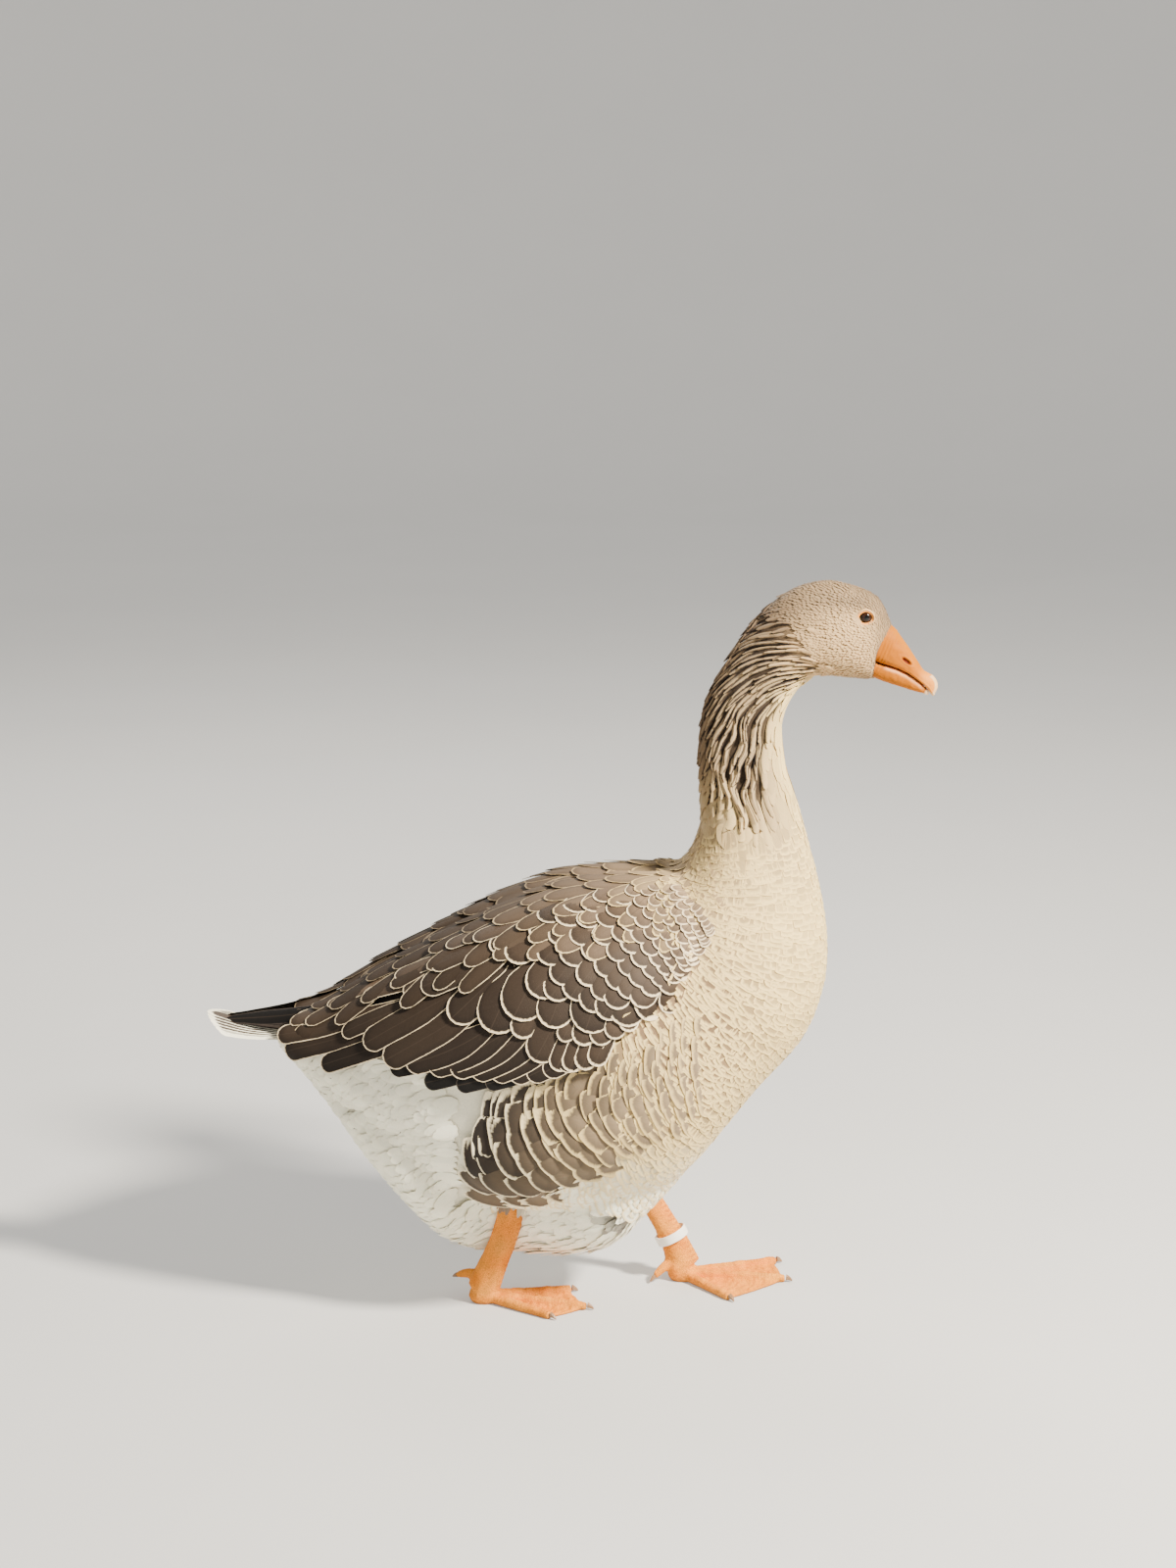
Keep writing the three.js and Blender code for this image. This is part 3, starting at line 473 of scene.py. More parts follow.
# ---------------------------------------------------------------- feathers as meshes
class Coat:
    """Collects closed feather meshes that share one object."""

    def __init__(self):
        self.v, self.q, self.t, self.base, self.rim, self.edge, self.vec, self.uv = [], [], [], [], [], [], [], []
        self.n = 0

    def vanes(self, c, nrm, length, width, low, high, base, rim, rim_width, uv, patch, side=1, nu=8, nv=7, tip=1.0,
              narrow=.12, waist=.45, camber=.05, roll=0.0, under=0.0, conform=None, grad=0.0, curl=0.0, ragged=0.0, seed=1,
              tip_rim=True, rise=1.0, shade=0.0, head_width=.35, side_rim=1.0, upper_rim=1.0, sink=None):
        """Feathers along centre lines c (n, k, 3) with normals nrm; heights and sizes in mm.

        side -1 turns the bird's right half into its left.
        """
        n, k = c.shape[:2]
        if n == 0:
            return
        r = rng(seed)
        full = lambda x: np.broadcast_to(np.asarray(x, float), (n,))
        length, width, low, high, rim_width, roll, camber, tip, patch, under_, rise = map(
            full, (length, width, low, high, rim_width, roll, camber, tip, patch, under, rise))
        base, rim = np.broadcast_to(base, (n, 3)), np.broadcast_to(rim, (n, 3))
        u = np.linspace(0, 1, nu)
        u = mix(u, 1 - (1 - u) ** 1.7, .55)
        v = np.sin(np.linspace(-1, 1, nv) * math.pi / 2)
        bow = 1 - np.sqrt(np.maximum(1 - (.97 * v) ** 2, 0))
        cut = tip[:, None] * (width / 2 / length)[:, None] * bow                     # (n, nv)
        a = u[None, :, None] * (1 - cut[:, None, :] * (u ** 4)[None, :, None])       # fraction along
        w = (head_width + (1 - head_width) * smooth(0, waist, u)) * (1 - narrow * smooth(.55, 1, u))
        wv = w[None, :, None] * np.ones((n, 1, nv))
        if ragged:
            jag = r.normal(0, ragged, (n, nu, nv)) * (np.abs(v) > .6)[None, None, :] * (u > .35)[None, :, None]
            wv = wv * (1 - np.abs(jag))
        off = v[None, None, :] * width[:, None, None] / 2 * wv
        x = a * (k - 1)
        i = np.clip(x.astype(int), 0, k - 2)
        f = (x - i)[..., None]
        m = np.arange(n)[:, None, None]
        p = mix(c[m, i], c[m, i + 1], f)
        nn = unit(mix(nrm[m, i], nrm[m, i + 1], f))
        tan = unit(c[m, np.minimum(i + 1, k - 1)] - c[m, i])
        b = unit(np.cross(nn, tan))
        p = p + b * off[..., None]
        if conform:
            p, nn = conform.near(p)
        h = low[:, None, None] + (high - low)[:, None, None] * a ** rise[:, None, None]
        half = (width / 2)[:, None, None]
        h = h - camber[:, None, None] * half * 2 * (off / half) ** 2 + roll[:, None, None] * off
        h = h + curl * smooth(.75, 1, a) * np.abs(off / half)
        if shade:
            h = h + r.normal(0, shade, (n, 1, 1))
        if sink:
            h = h - sink(p)
        p = p + nn * h[..., None]
        tipd = (1 - cut[:, None, :] - a) * length[:, None, None] * np.sqrt(1 - .94 * v ** 2)[None, None, :]
        sided = (1 - np.abs(v))[None, None, :] * half * wv * np.where(v < 0, upper_rim, 1)[None, None, :]
        edge = np.minimum(tipd, sided * side_rim) if tip_rim else sided + 0 * tipd
        rand = r.random(n)
        vec = np.stack([off, a * length[:, None, None], rand[:, None, None] * np.ones(off.shape)], -1)
        uvs = uv[:, None, None, :] + patch[:, None, None, None] * np.stack([off / (2 * half), a - .5], -1)
        ones = (1 + grad * (.5 - a) * 2)[..., None]
        top = nu * nv
        per = top + (nu if under else 0)
        j = v.size // 2

        def flat(arr):
            arr = arr.reshape(n, top, -1)
            if under:
                return arr, arr.reshape(n, nu, nv, -1)[:, :, j]
            return arr, None
        pv, pb = flat(p)
        if under:
            pb = pb - nn[:, :, j] * under_[:, None, None]
            pv = np.concatenate([pv, pb], 1)
        pack = [pv]
        for arr in (ones * base[:, None, None, :], np.concatenate([0 * ones + rim[:, None, None, :], 0 * ones + rim_width[:, None, None, None]], -1),
                    edge[..., None], vec, uvs):
            x1, x2 = flat(arr)
            pack.append(np.concatenate([x1, x2], 1) if under else x1)
        I, J = np.meshgrid(np.arange(nu - 1), np.arange(nv - 1), indexing="ij")
        o = (I * nv + J).ravel()
        q = np.stack([o, o + nv, o + nv + 1, o + 1], -1)
        e = np.arange(nu - 1)
        tris = []
        if under:
            bt = top + e
            q = np.vstack([q, np.stack([e * nv, bt, bt + 1, (e + 1) * nv], -1),
                           np.stack([bt, e * nv + nv - 1, (e + 1) * nv + nv - 1, bt + 1], -1)])
            for jj in range(nv - 1):
                tris.append((top + nu - 1, (nu - 1) * nv + jj + 1, (nu - 1) * nv + jj))
                tris.append((top, jj, jj + 1))
        else:
            q = np.vstack([q, np.stack([e * nv, e * nv + nv - 1, (e + 1) * nv + nv - 1, (e + 1) * nv], -1)])
            for jj in range(1, nv - 1):
                z = (nu - 1) * nv
                tris.append((z, z + jj + 1, z + jj))
                tris.append((0, jj, jj + 1))
        t = np.array(tris)
        base_i = self.n + np.arange(n)[:, None, None] * per
        q, t = (q[None] + base_i).reshape(-1, 4), (t[None] + base_i).reshape(-1, 3)
        pos = pack[0].reshape(-1, 3)
        if side < 0:
            pos = pos * [1, -1, 1]
            q, t = q[:, ::-1], t[:, ::-1]
        self.v.append(pos), self.q.append(q), self.t.append(t)
        for store, arr in zip((self.base, self.rim, self.edge, self.vec, self.uv), pack[1:]):
            store.append(arr.reshape(-1, arr.shape[-1]))
        self.n += n * per

    def triangles(self):
        return sum(2 * len(q) for q in self.q) + sum(len(t) for t in self.t)

    def build(self, name, material, sharp=62):
        obj = make_mesh(name, np.vstack(self.v), np.vstack(self.q), np.vstack(self.t))
        me = obj.data
        base = np.vstack(self.base)
        put_attribute(me, "base", "FLOAT_COLOR", np.hstack([np.clip(base, 0, 1), np.ones((len(base), 1))]))
        put_attribute(me, "rim", "FLOAT_COLOR", np.vstack(self.rim))
        put_attribute(me, "edge", "FLOAT", np.vstack(self.edge))
        put_attribute(me, "vane", "FLOAT_VECTOR", np.vstack(self.vec))
        layer = me.uv_layers.new(name="OFBake")
        li = np.empty(len(me.loops), np.int32)
        me.loops.foreach_get("vertex_index", li)
        layer.data.foreach_set("uv", np.vstack(self.uv)[li].astype(np.float32).ravel())
        finish_shading(obj, sharp)
        me.materials.append(material)
        return obj


def put_attribute(me, name, kind, values):
    at = me.attributes.new(name, kind, "POINT")
    key = {"FLOAT": "value", "FLOAT_VECTOR": "vector", "FLOAT_COLOR": "color"}[kind]
    at.data.foreach_set(key, np.ascontiguousarray(values, np.float32).ravel())


def finish_shading(obj, angle=None):
    me = obj.data
    me.polygons.foreach_set("use_smooth", np.ones(len(me.polygons), bool))
    if angle is not None:
        for o in bpy.context.selected_objects:
            o.select_set(False)
        bpy.context.view_layer.objects.active = obj
        obj.select_set(True)
        bpy.ops.object.shade_smooth_by_angle(angle=math.radians(angle), keep_sharp_edges=True)
        obj.select_set(False)
    me.update()


def trace(start, direction, length, steps, bend=0.0, back=False, on=None):
    """Centre lines laid on a surface from start; with back=True the start is the tip and the line runs to the root."""
    on = on or GUIDE
    n = len(start)
    length = np.broadcast_to(np.asarray(length, float), (n,))
    bend = np.broadcast_to(np.radians(np.asarray(bend, float)), (n,)) / steps
    p, nn = on.near(start)
    d = unit(direction - nn * dot(direction, nn)[:, None])
    if back:
        d = -d
    pts, nor = [p], [nn]
    turn = (-bend if back else bend)[:, None]
    for _ in range(steps):
        d = d * np.cos(turn) + np.cross(nn, d) * np.sin(turn)
        p, nn = on.near(p + d * (length / steps)[:, None])
        d = unit(d - nn * dot(d, nn)[:, None])
        pts.append(p), nor.append(nn)
    c, m = np.stack(pts, 1), np.stack(nor, 1)
    return (c[:, ::-1], m[:, ::-1]) if back else (c, m)


def side_direction(p, degrees, on=None):
    """Tangents on the right side that point to the rear and down by an angle, as seen from the side."""
    _, n = (on or GUIDE).near(p)
    r = np.radians(np.broadcast_to(np.asarray(degrees, float), (len(p),)))
    d = np.stack([-np.cos(r), 0 * r, -np.sin(r)], -1)
    ny = np.where(np.abs(n[:, 1]) < .3, np.where(n[:, 1] < 0, -.3, .3), n[:, 1])
    d[:, 1] = -(n[:, 0] * d[:, 0] + n[:, 2] * d[:, 2]) / ny
    return unit(d)


def flow(s, a, sign):
    """Direction away from the bill along the loft at (s, angle) on one side."""
    return unit(body(np.clip(s - .006, 0, 1), sign * a) - body(np.clip(s + .006, 0, 1), sign * a))


def scatter(mask, spacing, seed, sides=(-1,)):
    """Evenly spaced random points of the guide's right half where mask(p) holds."""
    r = rng(seed)
    v, t = GUIDE.v, GUIDE.t
    c = v[t].mean(1)
    t = t[(c[:, 1] < 0.5)]
    a, b, c = v[t[:, 0]], v[t[:, 1]], v[t[:, 2]]
    centre = (a + b + c) / 3
    keep = mask(centre)
    a, b, c = a[keep], b[keep], c[keep]
    area = np.linalg.norm(np.cross(b - a, c - a), axis=1) / 2
    count = int(area.sum() / spacing ** 2 * 4)
    k = r.choice(len(a), count, p=area / area.sum())
    u, w = r.random((2, count))
    flip = u + w > 1
    u, w = np.where(flip, 1 - u, u), np.where(flip, 1 - w, w)
    p = a[k] + (b - a)[k] * u[:, None] + (c - a)[k] * w[:, None]
    cell, near_, kept = spacing, {}, []
    for i, q in enumerate(p.tolist()):
        g = (int(q[0] // cell), int(q[1] // cell), int(q[2] // cell))
        ok = True
        for dx in (-1, 0, 1):
            for dy in (-1, 0, 1):
                for dz in (-1, 0, 1):
                    for o in near_.get((g[0] + dx, g[1] + dy, g[2] + dz), ()):
                        if (o[0] - q[0]) ** 2 + (o[1] - q[1]) ** 2 + (o[2] - q[2]) ** 2 < spacing ** 2 * .72:
                            ok = False
                            break
                    if not ok:
                        break
                if not ok:
                    break
            if not ok:
                break
        if ok:
            near_.setdefault(g, []).append(q)
            kept.append(i)
    return p[kept]


# ---------------------------------------------------------------- materials
class Shader:
    """A node material written as expressions."""

    def __init__(self, name):
        self.mat = bpy.data.materials.new(name)
        self.mat.use_nodes = True
        self.tree = self.mat.node_tree
        self.tree.nodes.clear()
        self.out = self.tree.nodes.new("ShaderNodeOutputMaterial")
        self.bsdf = self.tree.nodes.new("ShaderNodeBsdfPrincipled")
        self.tree.links.new(self.bsdf.outputs[0], self.out.inputs[0])

    def put(self, socket, value):
        if isinstance(value, bpy.types.NodeSocket):
            self.tree.links.new(value, socket)
        elif hasattr(value, "__len__") and len(value) == 3 and socket.type == "RGBA":
            socket.default_value = (*[float(c) for c in value], 1)
        else:
            socket.default_value = value

    def node(self, kind, settings=None, **inputs):
        n = self.tree.nodes.new("ShaderNode" + kind)
        for k, val in (settings or {}).items():
            setattr(n, k, val)
        for k, val in inputs.items():
            self.put(n.inputs[int(k[1:])] if k[0] == "i" and k[1:].isdigit() else n.inputs[k], val)
        return n

    def math(self, op, a, b=0.0, c=None, clamp=False):
        n = self.node("Math", dict(operation=op, use_clamp=clamp), i0=a, i1=b)
        if c is not None:
            self.put(n.inputs[2], c)
        return n.outputs[0]

    def attribute(self, name, out="Fac"):
        return self.node("Attribute", dict(attribute_name=name)).outputs[out]

    def vector(self, x, y, z):
        return self.node("CombineXYZ", None, i0=x, i1=y, i2=z).outputs[0]

    def mix(self, fac, a, b, mode="MIX"):
        n = self.tree.nodes.new("ShaderNodeMix")
        n.data_type, n.blend_type, n.clamp_factor = "RGBA", mode, True
        self.put(n.inputs[0], fac), self.put(n.inputs[6], a), self.put(n.inputs[7], b)
        return n.outputs[2]

    def ramp(self, x, lo, hi, a=0.0, b=1.0):
        n = self.node("MapRange", dict(interpolation_type="SMOOTHSTEP"), i0=x, i1=lo, i2=hi, i3=a, i4=b)
        return n.outputs[0]

    def noise(self, vector, scale, detail=2.0, rough=.5):
        n = self.node("TexNoise", None, Vector=vector, Scale=scale, Detail=detail, Roughness=rough)
        return n.outputs[0]

    def object_coords(self):
        return self.node("TexCoord").outputs["Object"]

    def bump(self, height, distance, strength=1.0):
        n = self.node("Bump", None, Height=height, Strength=strength, Distance=distance)
        self.put(self.bsdf.inputs["Normal"], n.outputs[0])

    def set(self, **values):
        for k, val in values.items():
            self.put(self.bsdf.inputs[k.replace("_", " ")], val)
        return self


def feather_material(name, rough=.62, sheen=.15, soft=0.0, barb=1.5, shaft=0.0, streak=.16, mottle=.08, blur=.35, bump=.00022, gloss=.25, inner=0.0, span=9.0):
    m = Shader(name)
    vane = m.attribute("vane", "Vector")
    xyz = m.node("SeparateXYZ", None, i0=vane).outputs
    across = m.math("ABSOLUTE", xyz[0])
    slant = m.math("SUBTRACT", xyz[1], m.math("MULTIPLY", across, .85))
    v = m.vector(m.math("MULTIPLY", slant, barb), m.math("MULTIPLY", xyz[0], .13), m.math("MULTIPLY", xyz[2], 41.0))
    barbs = m.noise(v, 1.0, 2.0, .6)
    coarse = m.noise(m.vector(m.math("MULTIPLY", slant, .35), m.math("MULTIPLY", xyz[0], .12), m.math("MULTIPLY", xyz[2], 17.0)), 1.0, 1.0)
    width = m.attribute("rim", "Alpha")
    edge = m.math("ADD", m.attribute("edge"), m.math("MULTIPLY", m.math("SUBTRACT", coarse, .5), m.math("MULTIPLY", width, 1.1)))
    edge = m.math("ADD", edge, m.math("MULTIPLY", m.math("SUBTRACT", barbs, .5), blur))
    lo, hi = m.math("MULTIPLY", width, 1 - blur), m.math("ADD", m.math("MULTIPLY", width, 1 + blur), .02)
    rim = m.node("MapRange", dict(interpolation_type="SMOOTHSTEP"), i0=edge, i1=lo, i2=hi, i3=1.0, i4=0.0).outputs[0]
    ground = m.attribute("base", "Color")
    if inner:
        deep = m.node("MapRange", dict(interpolation_type="SMOOTHSTEP"), i0=edge, i1=m.math("MULTIPLY", width, 1.1), i2=m.math("ADD", width, span),
                      i3=1 - inner, i4=1 + inner * .75).outputs[0]
        ground = m.mix(1.0, ground, m.vector(deep, deep, deep), "MULTIPLY")
    col = m.mix(rim, ground, m.attribute("rim", "Color"))
    if shaft:
        col = m.mix(m.ramp(across, .25, .55, shaft, 0.0), col, (.05, .035, .025))
    tone = m.math("ADD", m.math("MULTIPLY", barbs, 2 * streak), 1 - streak)
    body_noise = m.noise(m.object_coords(), 55.0, 3.0)
    tone = m.math("MULTIPLY", tone, m.math("ADD", m.math("MULTIPLY", body_noise, 2 * mottle), 1 - mottle))
    tone = m.math("MULTIPLY", tone, m.math("ADD", m.math("MULTIPLY", xyz[2], .14), .93))
    grey = m.vector(tone, tone, tone)
    col = m.mix(1.0, col, grey, "MULTIPLY")
    m.put(m.bsdf.inputs["Base Color"], col)
    m.put(m.bsdf.inputs["Roughness"], m.ramp(barbs, 0, 1, rough - .08, rough + .1))
    m.set(Sheen_Weight=sheen, Sheen_Roughness=.5, Subsurface_Weight=soft, Subsurface_Scale=.004, Specular_IOR_Level=gloss)
    m.bump(barbs, bump, .6)
    return m.mat


# ---------------------------------------------------------------- skin, under the plumage
def coat_depth(q):
    return np.interp(q, [0, 3, 9, 12, 15, 18, 20, 22.5, 24.4, 25], [4.5, 5, 5, 4.2, 3.4, 2.4, 1.3, 1.1, .8, .5])


def finish_skin():
    s, a = place_of(GUIDE.v)
    v = GUIDE.v - GUIDE.n * coat_depth(s * LAST)[:, None]
    d = v - EYE_AT
    for sign in (1, -1):
        e = np.linalg.norm((v - EYE_AT * [1, sign, 1])[:, [0, 2]], axis=1)
        hit = (np.sign(v[:, 1]) == sign) & (v[:, 0] > 200) & (v[:, 2] > 560)
        v[:, 1] -= sign * np.where(hit, 3.2 * smooth(7.4, 5.2, e), 0)
    me = skin.data
    me.vertices.foreach_set("co", ((v + [SHIFT, 0, 0]) / 1000).astype(np.float32).ravel())
    col = markings(GUIDE.v, s, a)
    q = s * LAST
    ends = np.interp(a, [.4, 1.1, 1.8, 2.4], [10.0, 10.9, 12.2, 13.4])
    edge = np.interp(q, [12, 14, 16, 18, 20.5], [1.45, 1.8, 2.15, 2.6, 3.0])
    # painted shade: the skin along the neck's furrows is near black; elsewhere the skin is the markings a little
    # darker, and wing brown under the wings
    furrow_shade = (smooth(ends, ends + 1.7, q) * smooth(20.6, 18.8, q) * smooth(edge + .35, edge - .05, a))[:, None]
    wing = (wing_cover(GUIDE.v) * (q < 9))[:, None]
    col = mix(col * .86, FURROW_SHADE, .92 * furrow_shade)
    col = mix(col, WING_DARK * .8, wing)
    put_attribute(me, "base", "FLOAT_COLOR", np.hstack([np.clip(col, 0, 1), np.ones((len(col), 1))]))
    uv = unwrap(s, a, np.where(GUIDE.v[:, 1] > 0, 1, -1))
    layer = me.uv_layers.new(name="OFBake")
    li = np.empty(len(me.loops), np.int32)
    me.loops.foreach_get("vertex_index", li)
    layer.data.foreach_set("uv", uv[li].astype(np.float32).ravel())
    finish_shading(skin)
    m = Shader("down")
    xyz = m.object_coords()
    fine = m.noise(xyz, 620.0, 3.0)
    tone = m.math("ADD", m.math("MULTIPLY", fine, .3), .85)
    m.put(m.bsdf.inputs["Base Color"], m.mix(1.0, m.attribute("base", "Color"), m.vector(tone, tone, tone), "MULTIPLY"))
    m.set(Roughness=.85, Sheen_Weight=.04, Specular_IOR_Level=.2)
    m.bump(fine, .0005, .8)
    me.materials.clear()
    me.materials.append(m.mat)


finish_skin()
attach(skin, "root")
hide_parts("head", "neck_upper", "neck_lower", "trunk", "flank_left", "flank_right")


def finish_coat(coat, name, material, replaced=()):
    obj = coat.build(name, material)
    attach(obj, "root")
    if replaced:
        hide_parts(*replaced)
    print("coat", name, coat.triangles(), "triangles")
    return obj


def packed_uv(n, order, patch_fill=.86):
    """Places for n large feathers, one square each, in reading order of where they root."""
    side = int(math.ceil(math.sqrt(n)))
    rank = np.empty(n, int)
    rank[order] = np.arange(n)
    return np.stack([(rank % side + .5) / side, (rank // side + .5) / side], -1), patch_fill / side


# ---------------------------------------------------------------- wings
FLIGHT = [  # tip x, z, degrees below the rear at the tip, bend, length, breadth, level, light
    (-171, 240, 15, -16, 105, 19, -2.2, 0), (-141, 231, 15, -18, 100, 18, -2.2, 0), (-113, 231, 14, -18, 90, 18, -2.2, 0),
    (-88, 234, 14, -18, 80, 17, -2.2, 0)]
SECONDARIES = [(-157, 246), (-137, 245), (-118, 244.5), (-100, 243), (-83, 242), (-67, 241), (-52, 242), (-38, 246), (-25, 251)]
TERTIALS = [
    (-258, 263, 22, -4, 96, 24, .9, .0), (-233, 233, 26, -6, 125, 20, .2, 0), (-266, 238, 32, -6, 135, 23, .6, .05), (-273, 251, 33, -8, 125, 21, 1.3, .2),
    (-176, 246, 33, -6, 118, 28, .9, .1), (-194, 257, 35, -4, 112, 27, 1.5, .1), (-214, 262, 30, -4, 90, 20, 1.1, .1),
    (-160, 301, 27, -4, 74, 20, 1.6, .2), (-144, 306, 28, -8, 92, 33, 2.1, .15), (-135, 321, 29, -4, 78, 24, 2.6, .25),
    (-229, 277, 26, -3, 92, 15, 1.9, .8), (-196, 291, 26, -3, 82, 17, 2.1, .5), (-168, 309, 27, -3, 76, 18, 2.2, .45),
    (-123, 336, 27, -4, 60, 19, 2.9, .4), (-99, 345, 26, -4, 58, 20, 3.1, .4)]
COVERTS = [
    (-118, 286, 44, -10, 72, 34, .7, .05), (-84, 279, 64, -16, 62, 42, .9, .05), (-61, 276, 58, -10, 48, 24, .5, .2), (-46, 256, 58, -12, 58, 31, .6, .15),
    (-28, 248, 62, -8, 52, 21, .3, .15), (-17, 247.5, 63, -8, 52, 21, .3, .2), (-6, 249, 64, -8, 50, 21, .3, .2),
    (5, 252, 66, -8, 48, 20, .3, .25), (-22, 273, 66, 0, 36, 17, .8, .25), (-7, 270, 68, 0, 36, 23, .8, .3),
    (8, 270, 70, 0, 36, 22, .8, .4), (20, 275, 70, 0, 36, 20, .8, .4), (32, 281, 70, 0, 34, 20, .8, .4),
    (-34, 285, 66, -10, 50, 34, 1.2, .1), (-64, 291, 60, -18, 62, 43, 1.6, .1), (-3, 281, 66, -16, 56, 40, 1.4, .1),
    (28, 286, 66, -14, 52, 38, 1.5, .15), (48, 290, 62, -12, 48, 34, 1.6, .2), (66, 295, 58, -8, 40, 24, 1.7, .3),
    (-33, 308, 52, -10, 46, 27, 1.8, .2), (-48, 311, 46, -14, 56, 36, 2.0, .2), (-69, 336, 36, -12, 52, 32, 2.4, .3),
    (-84, 341, 32, -8, 50, 26, 2.2, .3)]
COVERT_ROWS = [[(-51, 361), (-37, 332), (-13, 306), (12, 292)], [(-9, 375), (19, 352), (42, 327), (62, 309)],
               [(39, 384), (59, 363), (76, 342), (83, 329)], [(72, 388), (88, 376), (98, 364), (103, 356)]]


def tuck(p):
    """How far the wing's upper and front edges sink towards the body, under the feathers beside them."""
    edge = np.clip(smooth(285, 315, p[..., 2]) + smooth(30, 66, p[..., 0]), 0, 1)
    return 8.6 * edge * (1 - smooth(-3, 10, outline_inside(p[..., 0], p[..., 2])))


def on_grid(table, k, t):
    """A point of a family of curves: row k (0 to 1), place t (0 to 1) along it."""
    rows = np.array(table, float)
    pts = spline(rows.reshape(len(rows), -1), k).reshape(-1, rows.shape[1], rows.shape[2])
    return np.array([spline(p, tt) for p, tt in zip(pts, t)])


def wing(side):
    """The folded wing's feathers: right side, or turned into the left."""
    tips, ang, bend, size, level, light, kind = [], [], [], [], [], [], []

    def add(x, z, a, b, length, breadth, lev, lite, what):
        tips.append((x, z)), ang.append(a), bend.append(b), size.append((length, breadth))
        level.append(lev), light.append(lite), kind.append(what)
    for row in FLIGHT:
        add(*row, 0)
    for i, (x, z) in enumerate(SECONDARIES):
        f = i / (len(SECONDARIES) - 1)
        add(x, z, mix(14, 26, f), mix(-30, -24, f), mix(100, 60, f), mix(25, 21, f), -.7, 0, 1)
    for row in TERTIALS:
        add(*row, 2)
    for row in COVERTS:
        add(*row, 3)
    r = rng(11)
    rows = 12
    for i in range(rows):
        k = i / (rows - 1)
        count = int(round(np.interp(k, [0, .4, .75, 1], [6, 8, 10, 10])))
        t = (np.arange(count) + (.0 if i % 2 else .5)) / (count - .5)
        t = np.clip(t + r.normal(0, .012, count), 0, 1)
        pt = on_grid(COVERT_ROWS, np.full(count, k), t)
        for (x, z), tt in zip(pt, t):
            b = np.interp(k, [0, .4, .75, 1], [29, 22, 14.5, 10]) * r.uniform(.88, 1.1)
            length = np.interp(k, [0, .4, .75, 1], [52, 42, 30, 24])
            add(x, z, mix(40, 60, tt) + r.normal(0, 3.5), -10, length * r.uniform(.92, 1.1), b, 2.2 + .5 * k + r.normal(0, .12), .15 + 1.4 * k * mix(1, .82, tt), 3)
    tips, ang, bend, size, level, light, kind = map(np.array, (tips, ang, bend, size, level, light, kind))
    start = WING.from_right(tips[:, 0], tips[:, 1])
    d = side_direction(start, ang, WING)
    n = len(tips)
    order = np.lexsort((start[:, 0], start[:, 2]))
    pieces = {"wing_flight": kind <= 2, "wing_covert": kind == 3}
    out = {}
    for name, pick in pieces.items():
        idx = np.where(pick)[0]
        coat = Coat()
        o2 = np.argsort(np.lexsort((start[idx, 0], start[idx, 2])))
        uv, patch = packed_uv(len(idx), np.lexsort((start[idx, 0], start[idx, 2])))
        c, m = trace(start[idx], d[idx], size[idx, 0], 9, bend[idx], True, WING)
        lite = light[idx][:, None]
        base = mix(WING_DARK, WING_LIGHT, np.minimum(lite, 1)) * r.uniform(.92, 1.08, (len(idx), 1))
        base = mix(base, srgb(.64, .545, .43) * r.uniform(.92, 1.08, (len(idx), 1)), np.clip(lite - .8, 0, 1))
        k0 = kind[idx]
        base[k0 == 0] = BLACKISH
        rim = FRINGE * r.uniform(.86, 1.03, (len(idx), 1))
        rim = mix(rim, base * 1.35, .35 * np.clip(lite - .7, 0, 1))
        rim[k0 == 0] = srgb(.33, .30, .27)
        width = np.select([k0 == 0, k0 == 1, k0 == 2], [.5, .85, 1.0], 1.6) * np.where(size[idx, 1] < 18, .9, 1) * r.uniform(.85, 1.15, len(idx))
        roll = np.select([k0 == 0, k0 == 1, k0 == 2], [.07, .085, .035], -.035)
        high = .3 + level[idx] * .62
        nu, nv = 15, 9
        coat.vanes(c, m, size[idx, 0], size[idx, 1], high - np.select([k0 <= 1, k0 == 2], [2.8, 4.0], 5.0), high, base, rim, width, uv, patch, side,
                   nu=nu, nv=nv, tip=np.select([k0 <= 1, k0 == 2], [1.0, 1.0], .92 + .5 * np.clip(light[idx] - .7, 0, 1)), narrow=.08, waist=.5, camber=np.select([k0 <= 1, k0 == 2], [.008, .02], .03), roll=roll, under=.45,
                   conform=WING, grad=.16, ragged=.012, seed=21 + (side > 0), sink=tuck, side_rim=1.35, upper_rim=1.5)
        out[name] = coat
    return out


wing_material = feather_material("wing_feathers", rough=.6, sheen=.0, gloss=.18, barb=1.5, shaft=.4, streak=.15, mottle=.12, blur=.46, inner=.22, span=8.0)
for _side, _label in ((1, "right"), (-1, "left")):
    for _name, _coat in wing(_side).items():
        finish_coat(_coat, "%s_%s" % (_name, _label), wing_material, ("wing_" + _label,))


